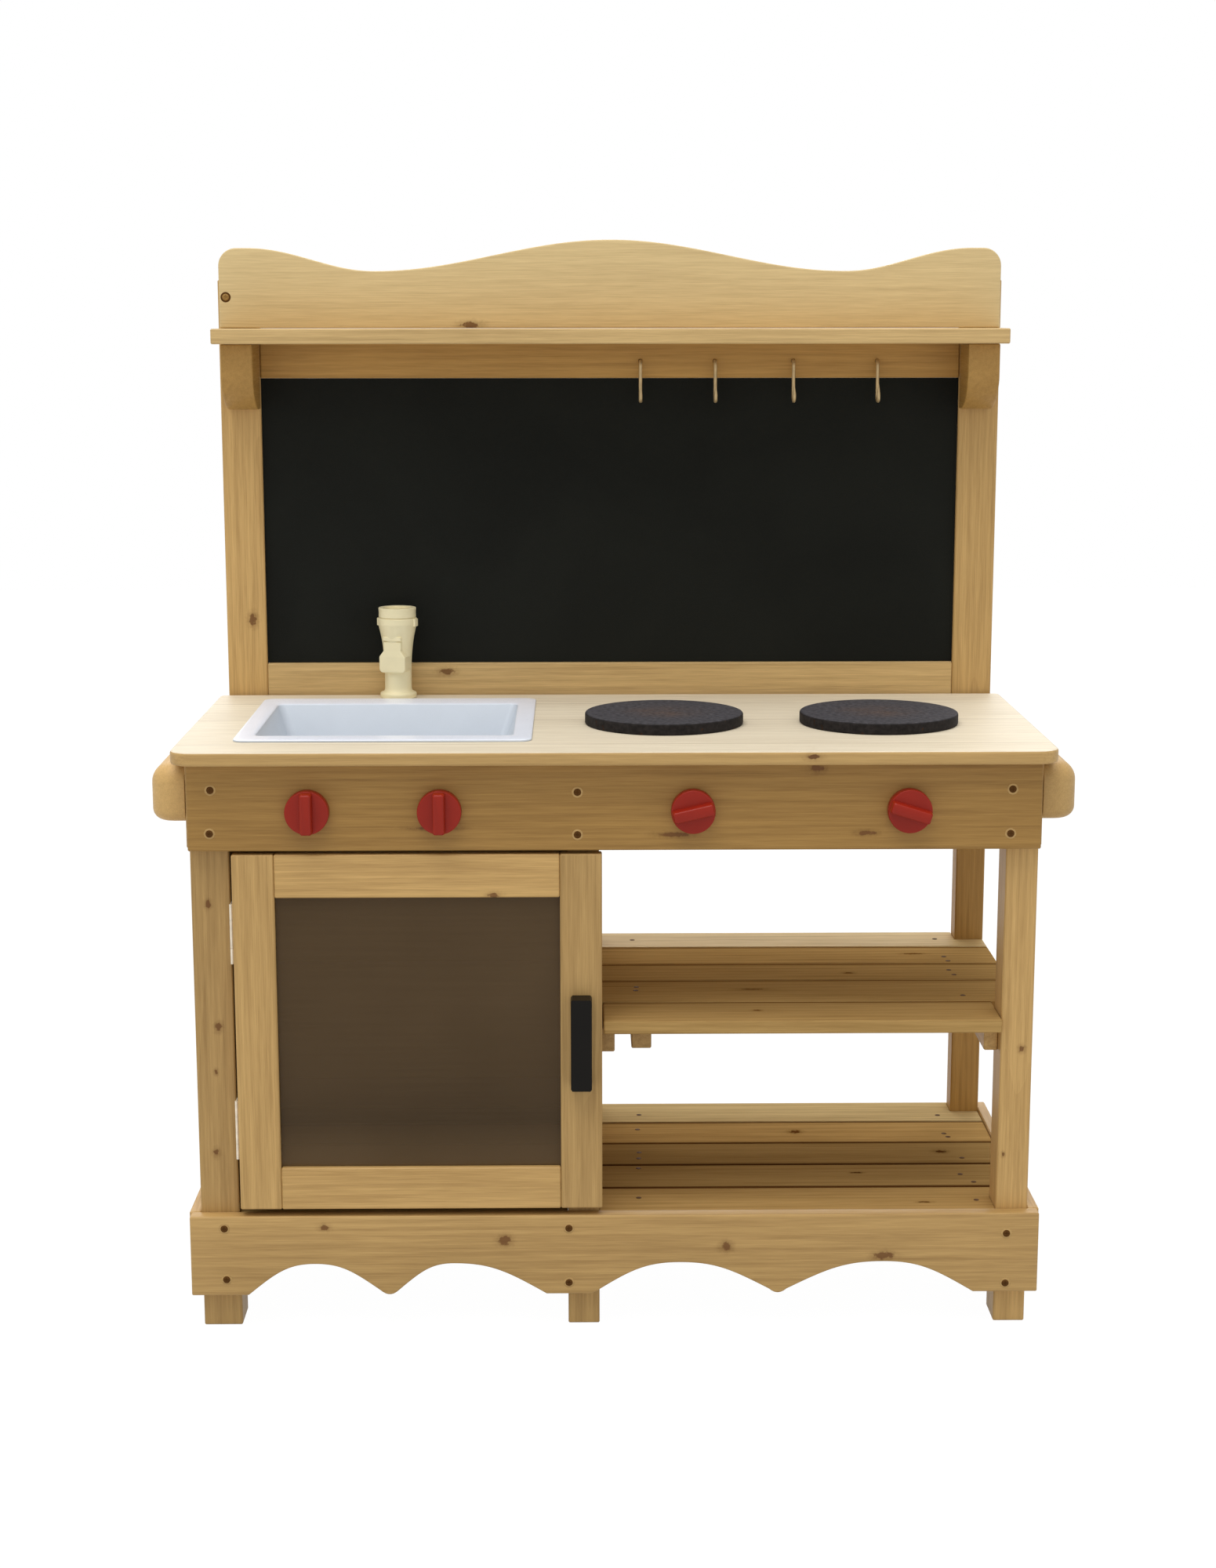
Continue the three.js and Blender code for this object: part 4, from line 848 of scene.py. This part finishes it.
class KITCHEN_OT_tap(bpy.types.Operator):
    """Make the tap and its dished cap"""

    bl_idname = "kitchen.tap"
    bl_label = "Tap"

    def execute(self, context):
        low, high = node_box("tap_cap")
        worktop = node_box("worktop")[1][2]
        axis = np.append((low + high)[:2] / 2, worktop)
        cream = moulded("moulded_polypropylene_cream", colours().cream, 0.36, 0.5, 0.04)
        # Radius and height over the worktop of each corner, and how far each is eased
        column = eased([
            (0, -20.3), (12, -20.3), (12, -14.3), (8, -14.3), (8, 0.3), (20.8, 0.3), (20.8, 6), (16.8, 7),
            (15.3, 10), (15.3, 34), (15.7, 45), (17.6, 65), (21.3, 82), (22, 84.5), (22, 92), (8.3, 92),
            (8.3, 80.7), (0, 80.7),
        ], (0, 0.8, 0.8, 0.5, 0, 0.6, 2.2, 1, 2, 5, 6, 9, 1.2, 1.2, 1.2, 0.8, 0.4, 0), 6)
        # The spout's reach to the front and its height. It narrows from its shoulder up.
        spout_steps, shoulder, foot_ease = 8, 48.5, 5
        corners = [(0, 30), (19, 30), (19, 35), (19, shoulder), (18.5, 55), (17.7, 65.5), (0, 65.5)]
        reach, up = eased(corners, (0, 2, 2, 1, 1, 0.8, 0), spout_steps)[spout_steps:-spout_steps].T
        width = 15.8 - 5 * np.clip((up - shoulder) / 6.5, 0, 1)
        width = width - foot_ease + np.sqrt(foot_ease**2 - np.clip(35 - up, 0, foot_ease) ** 2)
        blocks = [rounded_rings(-width, width, -reach, 0, up, (0.3, 0.3, 1.8, 1.8), 8)]
        # The brow over the spout and the two lugs: half width, front, rear, foot, head, corners' radii, and
        # whether the rear is eased as the other sides are
        for side, near, far, foot, head, radii, far_eased in (
            (11.2, -18.5, 0, 66.6, 71.6, (0.3, 0.3, 1.5, 1.5), 0),
            (23.6, -5, 5, 82.4, 91.2, 1.6, 1),
        ):
            ease = 0.6
            inset = np.array([ease, 0, 0, ease])
            up = np.array([foot, foot + ease, head - ease, head])
            rear = far - far_eased * inset
            blocks.append(rounded_rings(inset - side, side - inset, near + inset, rear, up, radii, 6))
        shells = [turned(column, axis), *(shell(about_upright(rings, TAP_TURN) + axis) for rings in blocks)]
        piece("tap_moulded", shells, "tap", cream, ["tap_body"])
        cap = eased([
            (0, 81.3), (8, 81.3), (8, 92.3), (21.3, 92.3), (21.1, 97.9), (21.4, 103.5), (15, 103.5),
            (14, 95.8), (0, 95.5),
        ], (0, 0.4, 0.5, 1, 3, 1, 1.2, 1.2, 0), 8)
        piece("tap_cap_dished", [turned(cap, axis)], "tap_cap", cream, ["tap_cap"])
        return {"FINISHED"}


# How many degrees each knob's grip is turned at rest
KNOB_TURNS = (0, 0, -77, 73)


class KITCHEN_OT_knobs(bpy.types.Operator):
    """Make the four turning knobs"""

    bl_idname = "kitchen.knobs"
    bl_label = "Knobs"

    def execute(self, context):
        red = moulded("moulded_abs_red", colours().red, 0.36, 0.45, 0.05, 0.25)
        panel = node_box("control_panel")[0][1]
        disc = eased([
            (0, -18.8), (8, -18.8), (8, -16.3), (4, -16.3), (4, 0.3), (22.5, 0.3), (22.5, 12.3), (0, 12.3),
        ], (0, 0.4, 0.4, 0.3, 0, 0.6, 1.7, 0), 8)
        for number, turn in enumerate(KNOB_TURNS, 1):
            low, high = node_box(f"knob_{number}")
            centre = np.where((0, 1, 0), panel, (low + high) / 2)
            # The grip's height over the panel, and how far its sides are in at that height
            rise = np.array([8.0, 12.0, 21.8, 23.0, 23.9, 24.3])
            inset = np.array([0.0, 0.0, 0.5, 0.8, 1.5, 2.4])
            half_width, half_length = 6.4 - inset, 21.4 - inset
            grip = rounded_rings(-half_width, half_width, -half_length, half_length, rise, 2.2, 8)
            grip = about_upright(grip, turn)
            grip = np.stack([grip[..., 0], -grip[..., 2], grip[..., 1]], -1) + centre
            shells = [turned(disc, centre, (0, -1, 0)), shell(grip)]
            piece(f"knob_{number}_moulded", shells, f"knob_{number}", red, [f"knob_{number}"])
        return {"FINISHED"}


class KITCHEN_OT_hooks(bpy.types.Operator):
    """Make the four wire hooks"""

    bl_idname = "kitchen.hooks"
    bl_label = "Hooks"

    def execute(self, context):
        bronze = plated("bronze_plated_wire", colours().bronze, 0.42, 0.5)
        for number in range(1, 5):
            low, high = node_box(f"hook_{number}")
            across, radius, inside = (low[0] + high[0]) / 2, 2, 11.5
            face, height = high[1] - inside, high[2] - radius
            # The wire's place back from the rail's face and up from its hole, without its double points
            path = eased([(inside, 0), (-8, 0), (-8, -44.5), (-22, -44.5), (-22, -24)], (0, 6, 7, 7, 0), 14)
            run = np.linalg.norm(path[1:] - path[:-1], axis=1)
            path = path[np.concatenate([[True], run > 1e-6])]
            step = np.gradient(path, axis=0)
            step /= np.linalg.norm(step, axis=1)[:, None]
            left = np.clip(np.linalg.norm(path - path[-1], axis=1) / 2, 0, 1)
            thick = radius * np.sqrt(np.clip(1 - (1 - left) ** 2, 0.0004, 1))
            angle = round_angles(16)
            side = thick[:, None] * np.cos(angle)
            lift = thick[:, None] * np.sin(angle)
            rings = np.stack([
                across + side,
                face + path[:, 0, None] - lift * step[:, 1, None],
                height + path[:, 1, None] + lift * step[:, 0, None],
            ], -1)
            piece(f"hook_{number}_wire", [shell(rings)], "carcass", bronze, [f"hook_{number}"])
        return {"FINISHED"}


class KITCHEN_OT_fittings(bpy.types.Operator):
    """Finish the chalkboard, the window, the hinges and the door handle"""

    bl_idname = "kitchen.fittings"
    bl_label = "Chalkboard, window, hinges and handle"

    def execute(self, context):
        dress("chalkboard", chalkboard_paint())
        dress("door_window", smoked_sheet())
        dress("door_handle", moulded("moulded_nylon_black", colours().black, 0.42, 0.5, 0.12, 0.15))
        zinc = plated("bright_zinc_plate", colours().zinc, 0.4, 0.3)
        for leaf in ("frame", "door"):
            for place in ("lower", "upper"):
                dress(f"hinge_{leaf}_leaf_{place}", zinc)
        return {"FINISHED"}


# Screws in the front boards, by their place across and height
PANEL_SCREWS = ((-410, 580), (-412, 535), (-38.3, 577), (-38.3, 533), (404, 579), (403, 533))
PLINTH_SCREWS = ((-409, 113), (-408, 57), (-48.5, 112), (-48.5, 52), (411, 104), (411, 49))
CREST_SCREWS = ((-430, 1072),)

# Nails in each slat, counted from the front: their place across, and how far back of its middle they are
SLAT_NAILS = {
    2: ((25, 16), (24, 2), (375, -22)),
    3: ((375, 5), (378, -15)),
    4: ((378, -9), (380, -28)),
    5: ((25, 0), (379, 0)),
}
DECK_NAILS = {
    1: ((26, 6), (386, -5)),
    2: ((28, 26), (381, 2), (392, -23)),
    3: ((30, 5), (29, -15), (391, -18)),
    4: ((30, 12), (383, -7), (386, -19)),
    5: ((33, -8), (385, -14)),
}


def screw_head(centre, outward, radius):
    """A round head of radius R with a crossed slot. At r from its axis and d from the slot's middle its
    height is 0.25 + 0.42 R sqrt(1 - (r / R)^2) - 0.9 exp(-(d / 0.55)^4) / (1 + exp(6 (r - 0.55 R)))."""
    share = np.sin(np.linspace(0, math.pi / 2, 11))[::-1, None]
    angle = round_angles(40)
    across = radius * share * np.cos(angle)
    up = radius * share * np.sin(angle)
    rise = 0.42 * radius * np.sqrt(np.clip(1 - share**2, 0, None))
    slot = np.maximum(np.exp(-((across / 0.55) ** 4)), np.exp(-((up / 0.55) ** 4)))
    reach = 1 / (1 + np.exp((np.hypot(across, up) - 0.55 * radius) * 6))
    rise = rise - 0.9 * slot * reach + 0.25
    first, second, axis = outward_axes(outward)
    rings = across[..., None] * first + up[..., None] * second + rise[..., None] * axis + centre
    base = across[:1, :, None] * first + up[:1, :, None] * second - 0.6 * axis + centre
    return shell(np.concatenate([base, rings]))


class KITCHEN_OT_fasteners(bpy.types.Operator):
    """Make the screw heads and the nail heads"""

    bl_idname = "kitchen.fasteners"
    bl_label = "Screws and nails"

    def execute(self, context):
        steel = plated("brown_phosphated_steel", colours().screw, 0.6, 0.0, 0.08)
        bare = pine("bare_pine_rims", "X", (0, -186, 300), toned("honey", 0.95))
        radius = sizes().screw_head / MM / 2
        brass = plated("dull_brassed_steel", colours().brass, 0.6, 0.0, 0.1)
        # The rims are bare wood, but the crest's screw sits in a dark brown cup
        for name, node, places, coat, edging, slot in (
            ("panel_screws", "control_panel", PANEL_SCREWS, steel, bare, "pine"),
            ("plinth_screws", "plinth_front", PLINTH_SCREWS, steel, bare, "pine"),
            ("crest_screws", "crest_board", CREST_SCREWS, brass, steel, "zinc"),
        ):
            face = node_box(node)[0][1]
            heads = [screw_head((across, face, height), (0, -1, 0), radius) for across, height in places]
            piece(name, heads, "carcass", coat)
            inner, outer = radius - 0.4, radius + 1.9
            rim = eased([(inner, -0.5), (outer, -0.5), (outer, 0.12), (inner, 0.3)], 0.1, 3)
            rims = [turned(rim, (across, face, height), (0, -1, 0), 32) for across, height in places]
            piece(f"{name}_rims", rims, "carcass", edging)
        nail = sizes().nail_head / MM / 2
        profile = eased([(0, -1), (nail, -1), (nail, 0.2), (0, 0.35)], (0, 0, 0.5, 0), 5)
        spots = []
        for number, places in SLAT_NAILS.items():
            low, high = node_box(f"shelf_slat_{number}")
            spots += [(across, (low[1] + high[1]) / 2 + off, high[2]) for across, off in places]
        low, high = node_box("floor_deck")
        gap = 3
        pitch = (high[1] - low[1] + gap) / len(DECK_PLANKS)
        for number, places in DECK_NAILS.items():
            middle = low[1] + (number - 0.5) * pitch - gap / 2
            spots += [(across, middle + off, high[2]) for across, off in places]
        heads = [turned(profile, spot, around=16) for spot in spots]
        piece("slat_nails", heads, "carcass", steel)
        return {"FINISHED"}


def seen_or_mirrored(tree):
    """One for a ray from the camera, and for one that metal or glass mirrors or lets through."""
    share = add_node(tree, "LightPath", out="Is Camera Ray")
    rays = share.node.outputs
    for kind in ("Is Glossy Ray", "Is Transmission Ray"):
        share = add_node(tree, "Math", (share, rays[kind]), operation="MAXIMUM")
    return share


class KITCHEN_OT_stage(bpy.types.Operator):
    """Set the floor, the lights and the camera"""

    bl_idname = "kitchen.stage"
    bl_label = "Floor, lights and camera"

    def execute(self, context):
        scene = context.scene
        scene.view_settings.view_transform = "Standard"
        world = bpy.data.worlds.new("white_room")
        scene.world = world
        world.use_nodes = True
        tree = world.node_tree
        tree.nodes.clear()
        dim = add_node(tree, "Background", {"Color": WHITE, "Strength": 0.6})
        white = add_node(tree, "Background", {"Color": WHITE, "Strength": 1.0})
        both = add_node(tree, "MixShader", (seen_or_mirrored(tree), dim, white))
        tree.links.new(both, tree.nodes.new("ShaderNodeOutputWorld").inputs["Surface"])

        # The floor lies just under the soles
        side, drop = sizes().floor_side / 2, -0.2 * MM
        corners = [(x * side, y * side, drop) for x, y in ((-1, -1), (1, -1), (1, 1), (-1, 1))]
        mesh = bpy.data.meshes.new("floor")
        mesh.from_pydata(corners, [], [(0, 1, 2, 3)])
        floor = placed("floor", mesh)
        paper, tree, shader = new_finish("white_paper_floor", Roughness=0.9)
        shader.inputs["Base Color"].default_value = (0.6, 0.6, 0.6, 1)
        # The camera sees the paper glow white, with a trace of its own shade for the shadow at the feet
        glow_share = 0.93
        seen = add_node(tree, "Math", (seen_or_mirrored(tree), glow_share), operation="MULTIPLY")
        glow = add_node(tree, "Emission", {"Color": WHITE, "Strength": 1.06})
        mixed = add_node(tree, "MixShader", (seen, shader.outputs[0], glow))
        tree.links.new(mixed, tree.nodes["Material Output"].inputs["Surface"])
        mesh.materials.append(paper)

        for name, strength, spread, pitch, turn in (
            ("key", 1.8, 50, 15, -30), ("fill", 0.1, 90, 74, 24), ("back", 1.0, 50, -50, 0),
        ):
            lamp = bpy.data.lights.new(name, "SUN")
            lamp.energy = strength
            lamp.angle = math.radians(spread)
            placed(name, lamp).rotation_euler = (math.radians(pitch), 0, math.radians(turn))

        view = bpy.data.cameras.new("camera")
        view.sensor_fit = "VERTICAL"
        view.sensor_width = 36
        view.sensor_height = 36
        view.lens = 57.6
        view.clip_end = 50
        camera = placed("camera", view)
        camera.location = (-0.0361, -2.68415, 1.0547)
        camera.rotation_euler = (math.radians(90 - 10.64), math.radians(0.04), math.radians(-0.67))
        scene.camera = camera
        return {"FINISHED"}


OPERATORS = (
    KITCHEN_OT_stage,
    KITCHEN_OT_boards,
    KITCHEN_OT_worktop,
    KITCHEN_OT_crest,
    KITCHEN_OT_plinth,
    KITCHEN_OT_brackets,
    KITCHEN_OT_side_rails,
    KITCHEN_OT_basin,
    KITCHEN_OT_hobs,
    KITCHEN_OT_tap,
    KITCHEN_OT_knobs,
    KITCHEN_OT_hooks,
    KITCHEN_OT_fittings,
    KITCHEN_OT_fasteners,
)


class KITCHEN_PT_pieces(bpy.types.Panel):
    """Lists the kitchen's pieces, sizes and colours"""

    bl_idname = "KITCHEN_PT_pieces"
    bl_label = "Mud Kitchen"
    bl_space_type = "VIEW_3D"
    bl_region_type = "UI"
    bl_category = "Mud Kitchen"

    def draw(self, context):
        for operator in OPERATORS:
            self.layout.operator(operator.bl_idname)
        for group in (context.scene.kitchen_sizes, context.scene.kitchen_colours):
            for key in group.__annotations__:
                self.layout.prop(group, key)


CLASSES = (KitchenSizes, KitchenColours, *OPERATORS, KITCHEN_PT_pieces)


def register():
    for kind in CLASSES:
        bpy.utils.register_class(kind)
    bpy.types.Scene.kitchen_sizes = PointerProperty(type=KitchenSizes)
    bpy.types.Scene.kitchen_colours = PointerProperty(type=KitchenColours)


def unregister():
    del bpy.types.Scene.kitchen_sizes
    del bpy.types.Scene.kitchen_colours
    for kind in reversed(CLASSES):
        bpy.utils.unregister_class(kind)


def main():
    """Makes every piece in order."""
    register()
    for operator in OPERATORS:
        getattr(bpy.ops.kitchen, operator.bl_idname.split(".")[1])()


if __name__ == "__main__":
    main()
